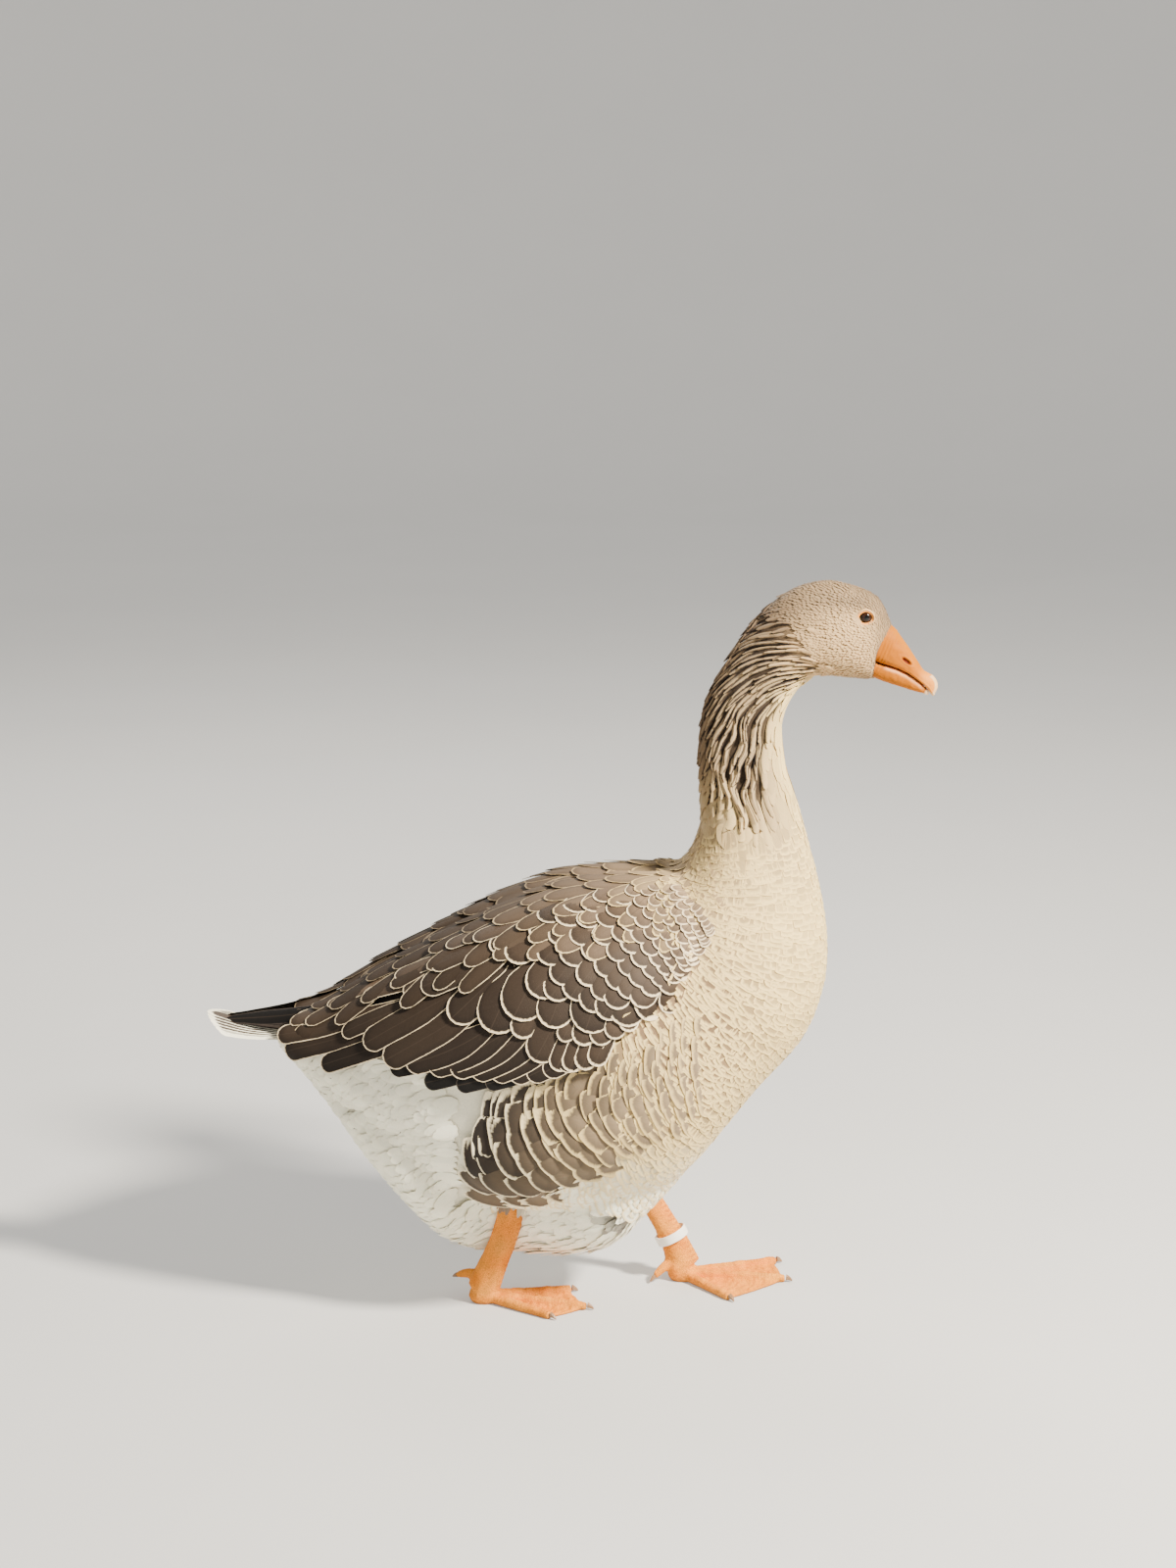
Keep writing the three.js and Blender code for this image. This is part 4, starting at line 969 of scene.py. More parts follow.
# ---------------------------------------------------------------- crossed tips of the long primaries
def primaries(side):
    coat = Coat()
    path = np.array(PRIMARIES, float)[:, :3] * [1, -1, 1]
    t = np.linspace(0, 1, 12)
    centre = spline(path, t)
    along = unit(np.gradient(centre, axis=0))
    tilt = np.array([0, -.72, -.69])
    nrm = unit(np.cross(tilt, along))
    nrm *= np.sign(nrm[:, 2:3] + .01)
    lateral = np.cross(nrm, along)
    cs, ns, ls, ws = [], [], [], []
    for k in range(6):
        end = 1 - .085 * k
        tt = np.linspace(.0, end, 12)
        f = tt * 11
        i = np.clip(f.astype(int), 0, 10)
        g = (f - i)[:, None]
        c = mix(centre[i], centre[i + 1], g) + mix(lateral[i], lateral[i + 1], g) * (1.4 * k - 1) - mix(nrm[i], nrm[i + 1], g) * (.7 * k - .4)
        cs.append(c), ns.append(unit(mix(nrm[i], nrm[i + 1], g)))
        ls.append(np.linalg.norm(np.diff(c, axis=0), axis=1).sum()), ws.append(15.5 - .2 * k)
    n = len(cs)
    uv, patch = packed_uv(n, np.arange(n))
    coat.vanes(np.stack(cs), np.stack(ns), np.array(ls), np.array(ws), 0, .5, BLACKISH * .8, srgb(.26, .23, .21), .6, uv, patch, side,
               nu=18, nv=9, tip=2.2, narrow=.45, waist=.3, camber=.07, under=.5, ragged=.01, grad=-.1, seed=5)
    return coat


for _side, _label in ((1, "right"), (-1, "left")):
    finish_coat(primaries(_side), "primaries_" + _label, wing_material, ("wing_" + _label,))


# ---------------------------------------------------------------- tail
def tail_point(s, y):
    return np.stack([-275 - 64 * s + .0009 * y * y * s, y + 0 * s, 246.5 + 8.5 * s - .0022 * y * y * np.clip(s, 0, 1)], -1)


def tail():
    coat = Coat()
    cs, ls, ws, lift = [], [], [], []
    count = 7
    for k in range(-count + 1, count):
        f = k / (count - 1)
        t = np.linspace(-.35, 1 - .20 * abs(f) ** 1.6, 10)
        y = f * (14 + 19 * smooth(-.35, 1, t))
        c = tail_point(t, y)
        c[:, 2] += 1.8 - .62 * abs(k) + 6 * smooth(.2, 1.0, t) ** 1.5
        cs.append(c), ls.append(np.linalg.norm(np.diff(c, axis=0), axis=1).sum()), ws.append(17 - 2 * abs(f))
    c = np.stack(cs)
    n = len(c)
    nrm = np.zeros_like(c)
    nrm[..., 2] = 1
    nrm[..., 1] = np.clip(c[..., 1] * .006, -.3, .3)
    nrm = unit(nrm)
    uv, patch = packed_uv(n, np.arange(n))
    pale = smooth(.7, 1.0, np.abs(np.linspace(-1, 1, n)))[:, None]
    coat.vanes(c, nrm, np.array(ls), np.array(ws, float), 0, .3, mix(srgb(.27, .225, .185)[None], WHITE * .95, pale), WHITE, 4.2, uv, patch, nu=18, nv=11, tip=1.0, side_rim=3.4,
               narrow=.0, waist=.3, camber=.04, under=.5, ragged=.012, grad=.12, seed=8)
    return coat


tail_material = feather_material("tail_feathers", rough=.56, sheen=.0, barb=1.5, shaft=.4, streak=.13, mottle=.1, blur=.25)
finish_coat(tail(), "tail_feathers", tail_material, ("tail",))


# ---------------------------------------------------------------- flank
FLANK_ROWS = [[(-86, 219), (-110, 153), (-84, 93)], [(-72, 229), (-86, 180), (-53, 103)], [(-52, 239), (-65, 190), (-24, 119)],
              [(-31, 247), (-43, 196), (3, 139)], [(-8, 250), (-26, 208), (23, 150)], [(27, 262), (13, 210), (46, 164)],
              [(62, 280), (52, 236), (70, 178)], [(92, 296), (88, 242), (97, 194)]]


def in_flank(p):
    """Whether points lie under the barred flank feathers."""
    rows = np.array(FLANK_ROWS, float)
    q = np.vstack([rows[:6, 0], [(40, 250), (46, 166)], rows[:5, 2][::-1], rows[0, 1][None]])
    x, z = p[:, 0], p[:, 2]
    odd = np.zeros(len(p), bool)
    for a, b in zip(q, np.roll(q, -1, axis=0)):
        if a[1] != b[1]:
            odd ^= ((a[1] > z) != (b[1] > z)) & (x < (b[0] - a[0]) * (z - a[1]) / (b[1] - a[1]) + a[0])
    return odd & (np.abs(p[:, 1]) > 20)


def flank(side):
    coat = Coat()
    r = rng(31)
    ks = np.concatenate([np.linspace(0, 4.6, 9)[:-1], np.linspace(4.6, 7, 9)]) / 7
    xs, zs, kk, tt, slope = [], [], [], [], []
    drift = 0.0
    for i, k in enumerate(ks):
        line = on_grid(FLANK_ROWS, np.full(41, k), np.linspace(0, 1, 41))
        arc = np.concatenate([[0], np.cumsum(np.linalg.norm(np.diff(line, axis=0), axis=1))])
        gap = np.interp(k, [0, .5, 1], [25, 19, 12])
        count = int(arc[-1] / gap)
        drift += r.uniform(.12, .4)
        at = (np.arange(count) + drift % 1.0) / count + r.normal(0, .012, count)
        at = np.clip(at, 0, 1)
        x, z = np.interp(at * arc[-1], arc, line[:, 0]), np.interp(at * arc[-1], arc, line[:, 1])
        tan = np.gradient(line, axis=0)
        tx, tz = np.interp(at * arc[-1], arc, tan[:, 0]), np.interp(at * arc[-1], arc, tan[:, 1])
        # normal of the row, to the rear
        slope.append(np.degrees(np.arctan2(tx, -tz)))
        xs.append(x), zs.append(z), kk.append(np.full(count, k)), tt.append(at)
    x, z, k, t, slope = map(np.concatenate, (xs, zs, kk, tt, slope))
    x, z = x + r.normal(0, 1.1, len(x)), z + r.normal(0, 1.5, len(x))
    start = GUIDE.from_right(x, z)
    ang = .62 * slope + .38 * mix(14, 40, t) + r.normal(0, 3, len(x))
    d = side_direction(start, ang)
    b = np.interp(k, [0, .5, 1], [44, 34, 20]) * r.uniform(.9, 1.1, len(x)) * mix(.72, 1, smooth(0, .16, t))
    length = np.interp(k, [0, .5, 1], [52, 42, 26])
    c, m = trace(start, d, length, 7, -6, True)
    dark = np.interp(k, [0, .3, .5, .7, .85, 1], [1, .95, .83, .68, .50, .33]) * (.82 + .18 * smooth(1, .4, t))
    pale = mix(CREAM, WHITE, .6 * smooth(.6, 0, k)[:, None])
    base = mix(srgb(.74, .64, .50), srgb(.152, .119, .096), dark[:, None]) * r.uniform(.85, 1.12, (len(x), 1))
    pale = mix(pale, base, .12 + .22 * smooth(.2, .8, k)[:, None])
    rim_w = np.interp(k, [0, .4, 1], [1.2, 2.0, 2.1]) * r.uniform(.65, 1.4, len(x))
    uv, patch = packed_uv(len(x), np.lexsort((start[:, 0], start[:, 2])))
    coat.vanes(c, m, length, b, -3.6, 1.5 + .5 * (1 - k) - 2.4 * smooth(.16, 0, t), base, pale, rim_w, uv, patch, side, nu=16, nv=13, tip=r.uniform(.15, .42, len(x)), narrow=.0,
               waist=.4, camber=.02, roll=r.normal(0, .022, len(x)) - .02, under=.4, conform=GUIDE, grad=.1, ragged=.05, shade=.3, seed=33 + (side > 0),
               side_rim=4.0)
    return coat


flank_material = feather_material("flank_feathers", rough=.7, sheen=.05, soft=.03, barb=1.0, streak=.2, mottle=.1, blur=.7, bump=.0003, inner=.26, span=11.0)
soft_material = feather_material("body_feathers", rough=.72, sheen=.1, soft=.06, barb=1.1, streak=.1, mottle=.05, blur=.42, bump=.0003)
for _side, _label in ((1, "right"), (-1, "left")):
    finish_coat(flank(_side), "flank_feathers_" + _label, flank_material, ("flank_" + _label,))


# ---------------------------------------------------------------- breast, back and belly
def ring_rows(q0, q1, row, column, low_angle, high_angle, seed, measure=2.35):
    """Staggered places in rings round the body between two sections: s and angle of each feather's root."""
    r = rng(seed)
    q = np.linspace(q0, q1, 400)
    line = body(q / LAST, np.full(400, measure))
    arc = np.concatenate([[0], np.cumsum(np.linalg.norm(np.diff(line, axis=0), axis=1))])
    count = int(arc[-1] / row)
    out = []
    for i in range(count):
        s = np.interp((i + .5) / count * arc[-1], arc, q) / LAST
        a = np.linspace(0, math.pi, 200)
        ring = body(np.full(200, s), a)
        ra = np.concatenate([[0], np.cumsum(np.linalg.norm(np.diff(ring, axis=0), axis=1))])
        m = max(3, int(ra[-1] / column))
        at = (np.arange(m) + (.37 * i) % 1.0) / m * ra[-1]
        aa = np.interp(at + r.normal(0, column * .1, m), ra, a)
        ok = (aa > low_angle) & (aa < high_angle)
        out.append(np.stack([s + r.normal(0, .0006, m), aa], -1)[ok])
    return np.concatenate(out)


def spaced(places, gap):
    """Thins places that crowd closer than gap along the bird, on the inner side of a bend."""
    s, a = places.T
    step = np.linalg.norm(body(s + .004, a) - body(s - .004, a), axis=1) / .008
    front = np.linalg.norm(body(s + .004, 2.35 + 0 * a) - body(s - .004, 2.35 + 0 * a), axis=1) / .008
    keep = rng(5).random(len(s)) < np.clip(step / front * gap, 0, 1)
    return places[keep]


def breast(side):
    coat = Coat()
    r = rng(41)
    pl = spaced(ring_rows(4.6, 14.4, 6.6, 9.6, .35, math.pi, 43), 1.5)
    if side > 0:
        mid = np.arange(4.7, 14.4, .3)
        pl = np.vstack([pl, np.stack([mid / LAST, math.pi - .02 * np.abs(np.sin(7 * mid)) - .004], -1)])
    s, a = pl.T
    p = body(s, -a)
    q = s * LAST
    w = wing_cover(body(s, -a, 1, WING_DEPTH)) * (s < .34)
    g, m = GUIDE.near(p)
    off = np.linalg.norm(g - p, axis=1)
    keep = (w < .25) & (off < 5) & ((a > 1.0) | (q > 7.6)) & ~in_flank(g)
    keep &= q < np.interp(a, [.4, 1.1, 1.8, 2.4, 2.8], [10.9, 11.7, 12.9, 13.8, 14.5])
    keep &= ~((g[:, 0] < 48) & (g[:, 2] > np.interp(g[:, 0], [-86, -8, 27, 62], [213, 244, 256, 274])) & (np.abs(g[:, 1]) > 20) & (q < 8))
    s, a, q, p, g = s[keep], a[keep], q[keep], p[keep], g[keep]
    n = len(s)
    d = flow(s, a, -1)
    jitter = r.normal(0, .07, n)
    nn = GUIDE.near(p)[1]
    d = unit(d + np.cross(nn, d) * jitter[:, None])
    length = np.interp(q, [5, 9, 12, 13.4], [27, 23, 20, 20]) * r.uniform(.92, 1.08, n)
    b = np.interp(q, [5, 9, 12, 13.4], [22, 20, 13, 9]) * r.uniform(.88, 1.12, n)
    c, m = trace(p, d, length, 4)
    tips = c[:, -1]
    tone = markings(tips, s, a)
    # barring is strongest by the shoulder and flank, and fades to the front and below
    bar = np.exp(-((tips[:, 0] - 74) / 74) ** 2 - ((tips[:, 2] - 270) / 105) ** 2) * smooth(2.95, 2.1, a)
    bar = np.clip(.25 + .95 * bar, 0, 1) * smooth(13.8, 10.2, q) * smooth(105, 180, tips[:, 2])
    bar = np.maximum(bar, .2 * smooth(8.6, 10.4, q))
    cloud = 1 + .10 * waves(tips, 46, 44)[:, None] * (.3 + bar[:, None])
    base = mix(tone, FAWN * .72, bar[:, None]) * cloud * r.uniform(.93, 1.05, (n, 1))
    rim = mix(tone, CREAM * 1.08, .7)
    high = np.interp(q, [5, 8, 12.4, 13.4], [.8, .55, .3, .3]) * mix(.75, 1, bar)
    coat.vanes(c, m, length, b, np.interp(q, [5, 9, 13.4], [-2.2, -1.4, -1.1]), high, base, rim, mix(1.7, 2.2, bar) * r.uniform(.6, 1.3, n), unwrap(s, a, -side), .004, side,
               nu=6, nv=5, tip=r.uniform(.12, .34, n), narrow=.0, waist=.4, camber=.015, roll=r.normal(0, .012, n), shade=.07, ragged=.06, seed=45 + (side > 0), side_rim=6.0)
    return coat


def mantle(side):
    """Long dark feathers of the shoulders and back, smaller and greyer at the base of the neck."""
    coat = Coat()
    r = rng(51)
    out = []
    q0, rowno = 1.3, 0
    while q0 < 10.9:
        s0 = q0 / LAST
        edge = np.interp(q0, [1.3, 2.1, 4, 7, 8.4, 10.9], [.8, .55, .66, .74, .92, 1.12])
        ring = body(np.full(120, s0), -np.linspace(0, edge, 120), 1, 6)
        arc = np.concatenate([[0], np.cumsum(np.linalg.norm(np.diff(ring, axis=0), axis=1))])
        gap = np.interp(q0, [1.7, 6, 8.5, 10.9], [15.5, 14, 9, 6])
        m = max(2, int(round(arc[-1] / gap)))
        at = (np.arange(m) + (.1 if rowno % 2 else .6)) / m * arc[-1] + r.normal(0, gap * .07, m)
        aa = np.interp(np.clip(at, 0, arc[-1]), arc, np.linspace(0, edge, 120))
        out.append(np.stack([np.full(m, q0) + r.normal(0, .02, m), aa], -1))
        step = np.interp(q0, [1.7, 5, 7, 8.5, 10.9], [33, 28, 18, 9.5, 7])
        per = np.linalg.norm(body(s0 + .004, 0.0) - body(s0 - .004, 0.0)) / .008 / LAST
        q0 += step / max(per, 18)
        rowno += 1
    q, a = np.concatenate(out).T
    s = q / LAST
    p = body(s, -a, 1, WING_DEPTH * wing_cover(body(s, -a, 1, WING_DEPTH)) * (s < .34))
    n = len(s)
    d = flow(s, a, -1)
    nn = GUIDE.near(p)[1]
    out_ = np.cross(nn, d)
    d = unit(d + out_ * (np.sign(-out_[:, 1:2]) * (.46 * smooth(.1, .6, a) * smooth(9.5, 6, q))[:, None] + r.normal(0, .05, n)[:, None]))
    length = np.interp(q, [1.3, 2.1, 6, 8.5, 10.9], [46, 72, 58, 30, 22]) * r.uniform(.9, 1.1, n)
    b = np.interp(q, [1.7, 6, 8.5, 10.9], [22, 22, 13.5, 9]) * r.uniform(.88, 1.1, n)
    c, m = trace(p, d, length, 7)
    browner = smooth(9.6, 6.4, q)[:, None]
    deep = smooth(7.6, 3.6, q)[:, None]
    neck = mix(markings(c[:, 2], s, np.maximum(a, .8)), srgb(.60, .50, .40), .45)
    tone = mix(neck, srgb(.41, .345, .28), browner)
    tone = mix(tone, mix(MANTLE, WING_DARK, .5), deep) * r.uniform(.84, 1.14, (n, 1))
    rim = mix(mix(CREAM, neck, .35), mix(MANTLE_EDGE, FRINGE, .35 + .4 * smooth(.1, .6, a)[:, None]), smooth(7.5, 4, q)[:, None])
    rim = mix(rim, tone * 1.5, .75 * (smooth(.55, .15, a) * smooth(9.6, 7, q))[:, None])
    high = np.interp(q, [1.7, 7, 9, 10.9], [2.7, 2.3, .9, .4]) * mix(.35, 1, smooth(.05, .45, a))
    coat.vanes(c, m, length, b, high - np.interp(q, [1.7, 7, 9, 10.9], [5.4, 4.6, 2.6, 1.8]), high, tone, rim, np.interp(q, [1.7, 4.5, 7, 9, 10.9], [.9, 1.0, 1.6, 1.5, 1.5]), unwrap(s, a, -side), .005, side,
               nu=12, nv=7, tip=np.interp(q, [5, 9], [1.15, 1.8]), narrow=.2, waist=.4, camber=.04, roll=r.normal(0, .02, n) - .02, under=.35, conform=GUIDE, shade=.2, ragged=.02, grad=.1, seed=55 + (side > 0), side_rim=1.4)
    return coat


def belly(side, part):
    """White down of the belly, vent and rump."""
    coat = Coat()
    r = rng(61 + part)

    def mask(c):
        s, a = place_of(c)
        q = s * LAST
        covered = wing_cover(c) > .6
        fl = (c[:, 1] < -30) & (c[:, 0] > -112) & (c[:, 0] < 100) & (c[:, 2] > 96 + .42 * (c[:, 0] + 96)) & (c[:, 2] < 260)
        ok = (q < 5.6) | (c[:, 2] < 120 + .35 * np.maximum(c[:, 0], 0))
        ok &= ~covered & ~fl & ((a > 1.0) | (c[:, 0] < -262)) & (q < 8.5)
        half = c[:, 0] > -85
        return ok & (half if part else ~half)
    p = scatter(mask, 6.4, 63 + part)
    s, a = place_of(p)
    n = len(p)
    d = unit(np.stack([-np.ones(n), np.zeros(n), -.16 - .1 * smooth(-40, -120, p[:, 0])], -1))
    nn = GUIDE.near(p)[1]
    d = unit(d - nn * dot(d, nn)[:, None])
    d = unit(d + np.cross(nn, d) * r.normal(0, .16, n)[:, None])
    fluff = smooth(90, 40, p[:, 2]) * smooth(-150, -100, p[:, 0])
    length = r.uniform(22, 30, n) + 5 * fluff
    c, m = trace(p, d, length, 4)
    tone = markings(c[:, -1], s, a)
    # the down turns buff towards the bottom of the belly
    low_buff = smooth(70, 36, c[:, -1, 2])[:, None]
    tone = mix(tone, srgb(.84, .72, .58), .3 * low_buff)
    base = tone * r.uniform(.93, 1.02, (n, 1))
    for fx, fz in ((-14, 108), (10, 81), (38, 103), (2, 92), (26, 122), (24, 78)):
        near = (c[:, -1, 0] - fx - (0 if side > 0 else 9)) ** 2 + (c[:, -1, 2] - fz) ** 2 + 900 * (np.abs(c[:, -1, 1]) < 30)
        for j in near.argsort()[:3]:
            if near[j] < 90:
                base[j] = mix(base[j], srgb(.27, .23, .20), r.uniform(.55, .9))
    coat.vanes(c, m, length, mix(r.uniform(10.5, 14.5, n), r.uniform(5.5, 9, n), fluff), -3.6, .3 + .35 * r.random(n) + fluff * r.uniform(.6, 2.5, n), base, base * 1.04, .9, unwrap(s, a, -side), .003, side,
               nu=6, nv=5, tip=1.3, narrow=.2, waist=.35, camber=.06, shade=.2, ragged=.09, seed=65 + (side > 0))
    return coat


def thigh(side):
    """Tufts that hang over the top of each leg."""
    coat = Coat()
    r = rng(68)
    shank = np.array(LEG_LINES["right" if side > 0 else "left"]["shank"], float)
    top, low = shank[0] * [1, side * -1 if side < 0 else 1, 1], shank[1] * [1, side * -1 if side < 0 else 1, 1]
    axis = unit(low - top)
    u = unit(np.cross(axis, [0, 1.0, 0]))
    w = np.cross(axis, u)
    cs, ns = [], []
    for ring_, (z0, rad0, rad1) in enumerate([(11, 16, 13.8), (4, 16, 13.6), (-4, 16, 14), (-13, 18, 15)]):
        count = 22
        for k in range(count):
            f = (k + .5 * (ring_ % 2)) / count * 2 * math.pi + r.normal(0, .06)
            out = math.cos(f) * u + math.sin(f) * w
            t = np.linspace(0, 1, 6)[:, None]
            start = z0 - 6 + r.normal(0, 2.2)
            c = top + axis * (start + 21 * t) + out * mix(rad0, rad1, t ** .8)
            cs.append(c), ns.append(np.repeat(unit(out - axis * .12)[None], 6, 0))
    c, m = np.stack(cs), np.stack(ns)
    n = len(c)
    s, a = place_of(c[:, 0])
    # brown-grey towards the rear, full on the right and weak on the left: partly the tufts' own colour, partly painted
    # shade under the flank
    tone = mix(WHITE * .93, srgb(.50, .41, .33), np.clip(.35 + .6 * smooth(-8, 12, (top[0] - c[:, -1, 0])), 0, 1)[:, None] * (1 if side > 0 else .3))
    tone = tone * r.uniform(.9, 1.05, (n, 1))
    coat.vanes(c, m, np.full(n, 21.0), r.uniform(5.5, 8, n), -1.2, r.uniform(.4, 1.6, n), tone, tone * 1.05, .8, unwrap(s, a, -side), .003, side,
               nu=7, nv=5, tip=1.7, narrow=.35, waist=.3, camber=.12, shade=.4, ragged=.08, under=.3, seed=69 + (side > 0))
    return coat


breast_material = feather_material("breast_feathers", rough=.75, sheen=.06, soft=.05, barb=1.0, streak=.1, mottle=.06, blur=.8, bump=.0002)
back_material = feather_material("back_feathers", rough=.66, sheen=.0, gloss=.12, barb=1.2, shaft=.12, streak=.14, mottle=.12, blur=.45, inner=.16, span=8.0)
for _side, _label in ((1, "right"), (-1, "left")):
    finish_coat(breast(_side), "breast_feathers_" + _label, breast_material)
    finish_coat(mantle(_side), "back_feathers_" + _label, back_material)
    finish_coat(belly(_side, 0), "rear_down_" + _label, soft_material)
    finish_coat(belly(_side, 1), "belly_down_" + _label, soft_material)
    finish_coat(thigh(_side), "thigh_tufts_" + _label, soft_material)


# ---------------------------------------------------------------- neck plumes and head
def neck_turn(q):
    """Degrees by which the plumes lean from the neck's line towards the nape."""
    return np.interp(q, [11, 12.5, 14, 16, 18, 19.5, 21.5], [0, 3, 9, 17, 32, 44, 50])


def plumes(side):
    """Furrowed plumes: locks nested along lines that run down the neck and lean to the nape."""
    coat = Coat()
    r = rng(71)
    q = np.linspace(9.4, 21.4, 680)
    mid = body(q / LAST, np.full(len(q), math.pi / 2))[:, [0, 2]]
    arc = np.concatenate([[0], np.cumsum(np.linalg.norm(np.diff(mid, axis=0), axis=1))])
    t = spline(SECTIONS, q / LAST)
    radius = .5 * (t[:, 4] + .5 * np.linalg.norm(t[:, 0:2] - t[:, 2:4], axis=1))
    turn = np.concatenate([[0], np.cumsum(np.diff(arc) * np.tan(np.radians(neck_turn(q)))[1:] / radius[1:])])
    total = turn[-1]
    gap, step, k = 5.7 / 34, 11.5, 9
    places, lines_q, lines_a = [], [], []
    count = int((math.pi + total) / gap) + 1
    for j in range(count):
        c0 = -total + (j + r.normal(0, .16)) * gap
        phase, swell = .7 * math.sin(j * .31) + .45 * math.sin(j * .83), .075 * (.6 + .4 * math.sin(j * .57))
        offset = (.0, .5, .25, .75)[j % 4] + r.uniform(-.15, .15)
        late = float(np.clip(r.normal(0, .42), -.8, .35))
        for i in range(int(arc[-1] / step)):
            at = (i + offset) * step + r.normal(0, 1.5)
            if not 12 <= at <= arc[-1]:
                continue
            qr = np.interp(at, arc, q)
            length = np.interp(qr, [11.6, 14, 18, 20, 21.4], [24, 28, 24, 17, 10]) * r.uniform(.8, 1.25)
            w = at - length * np.linspace(0, 1, k)
            side_step, twist = r.normal(0, .022), r.normal(0, .05)
            ang = c0 + np.interp(w, arc, turn) + side_step + twist * np.linspace(-.5, .5, k) + swell * np.sin(w / 12.5 + phase) + .45 * swell * np.sin(w / 5.6 + 2 * phase + 1)
            if .02 < ang[0] < math.pi - .02:
                places.append((qr, ang[0], length, late))
                lines_q.append(np.interp(w, arc, q, left=np.nan)), lines_a.append(ang)
    qv, a, length, late = np.array(places).T
    lq, la = np.array(lines_q), np.array(lines_a)
    ok = ~np.isnan(lq).any(1)
    qv, a, length, late, lq, la = qv[ok], a[ok], length[ok], late[ok], lq[ok], la[ok]
    s = qv / LAST
    n = len(s)
    c, m = GUIDE.near(body(lq / LAST, -np.clip(la, -.3, math.pi + .3)))
    edge = np.interp(qv, [12, 14, 16, 18, 20.5], [1.45, 1.8, 2.15, 2.6, 3.0])
    start = np.interp(a, [.4, 1.1, 1.8, 2.4], [9.6, 10.6, 12.0, 13.4]) + late + r.normal(0, .2, n)
    keep = qv > start + .3
    depth = smooth(start, start + 1.9, lq[:, 4]) * smooth(21.7, 20.1, qv + .7 * late) * smooth(edge + .4, edge - .1, a)
    depth = np.clip(depth * r.uniform(.7, 1.25, n), 0, 1)
    wide = gap * np.interp(lq[:, 4], q, radius)
    b = wide * mix(1.35, .80, depth) * r.uniform(.84, 1.14, n)
    tone = markings(c[:, 3], *place_of(c[:, 3]))
    base = tone * r.uniform(.93, 1.05, (n, 1))
    # painted shade: the plumes' edges turn near black where the furrows are deep
    rim = mix(tone * .97, FURROW_SHADE, depth[:, None])
    flick = 1.5 * (r.random(n) < .5) * r.random(n) * smooth(.9, .25, a) * smooth(11.4, 13.0, qv) * depth
    high = mix(-.25, 1.3, depth) + flick + depth * r.normal(0, .3, n)
    roll = r.normal(0, .08, n)
    c, m, length, b, depth, high, base, rim, roll, s, a = [x[keep] for x in (c, m, length, b, depth, high, base, rim, roll, s, a)]
    coat.vanes(c, m, length, b, mix(-1.4, -2.8, depth), high, base, rim, mix(.3, 1.15, depth), unwrap(s, a, -side), .003, side,
               nu=10, nv=5, tip=1.7, narrow=.25, waist=.25, camber=mix(.04, .60, depth), roll=roll, shade=.35, tip_rim=False, rise=.5, grad=-.08, seed=75 + (side > 0))
    return coat


def head_feathers(side):
    coat = Coat()
    r = rng(81)
    border = lambda c: ((c - GAPE) @ ALONG)

    def mask(c):
        s, a = place_of(c)
        e = np.linalg.norm((c - EYE_AT * [1, -1, 1])[:, [0, 2]] * [.88, 1], axis=1)
        return (s * LAST > 20.1 - .5 * smooth(1.2, .3, a)) & (e > 6.5) & (border(c) < 1.5)
    p = scatter(mask, 2.15, 83)
    s, a = place_of(p)
    q = s * LAST
    n = len(p)
    d = flow(s, a, -1)
    lean = np.radians(np.interp(q, [18.6, 20.5, 23], [44, 30, 4])) * smooth(2.9, 2.2, a) * smooth(0, .5, a)
    toward = unit(body(s, -(a - .02)) - body(s, -a))
    d = unit(d * np.cos(lean)[:, None] + toward * np.sin(lean)[:, None])
    length = np.interp(q, [18.6, 20, 22, 24.5], [9.5, 6.4, 4.6, 3.2]) * r.uniform(.85, 1.15, n)
    b = np.interp(q, [18.6, 20, 22, 24.5], [3.6, 2.8, 2.3, 1.7])
    c, m = trace(p, d, length, 2)
    tone = markings(c[:, -1], s, a)
    base = tone * r.uniform(.95, 1.04, (n, 1))
    low = -coat_depth(q) + .1
    coat.vanes(c, m, length, b, low, np.interp(q, [18.6, 20.5, 25], [.65, .27, .15]), base, base * .93, .35, unwrap(s, a, -side), .003, side, nu=4, nv=3, tip=1.5,
               narrow=.2, waist=.3, camber=.12, shade=.05, seed=85 + (side > 0))
    return coat


neck_material = feather_material("neck_feathers", rough=.75, sheen=.08, soft=.05, barb=1.3, streak=.1, mottle=.05, blur=.55, bump=.0003)
for _side, _label in ((1, "right"), (-1, "left")):
    finish_coat(plumes(_side), "neck_plumes_" + _label, neck_material)
    finish_coat(head_feathers(_side), "head_feathers_" + _label, neck_material)


# ---------------------------------------------------------------- bill
UPPER = [(-13, 34, -1, 14.4), (-2.2, 32.2, 0, 14.2), (6, 28.4, 1.6, 13.6), (16, 23.6, 3.5, 12.6), (27, 17.8, 4, 11.4),
         (38, 12.6, 2.8, 10.4), (47, 12.4, 1, 9.4), (53, 9.4, -1.8, 7.2), (56.6, 5, -3.2, 3.6)]
LOWER = [(-12, -1.6, -12.6, 13.8), (-1, -.6, -13.6, 13.2), (8, 1.3, -13.2, 12.4), (18, 3.1, -11.6, 11.4), (28, 3.4, -9.6, 10.2),
         (38, 2.2, -7.6, 9.2), (47, .3, -5.4, 7.6), (52, -2.3, -4.6, 4.6)]


def bill_frame(a, y, h):
    return GAPE + a[..., None] * ALONG + h[..., None] * UPWARD + y[..., None] * np.array([0, 1.0, 0])


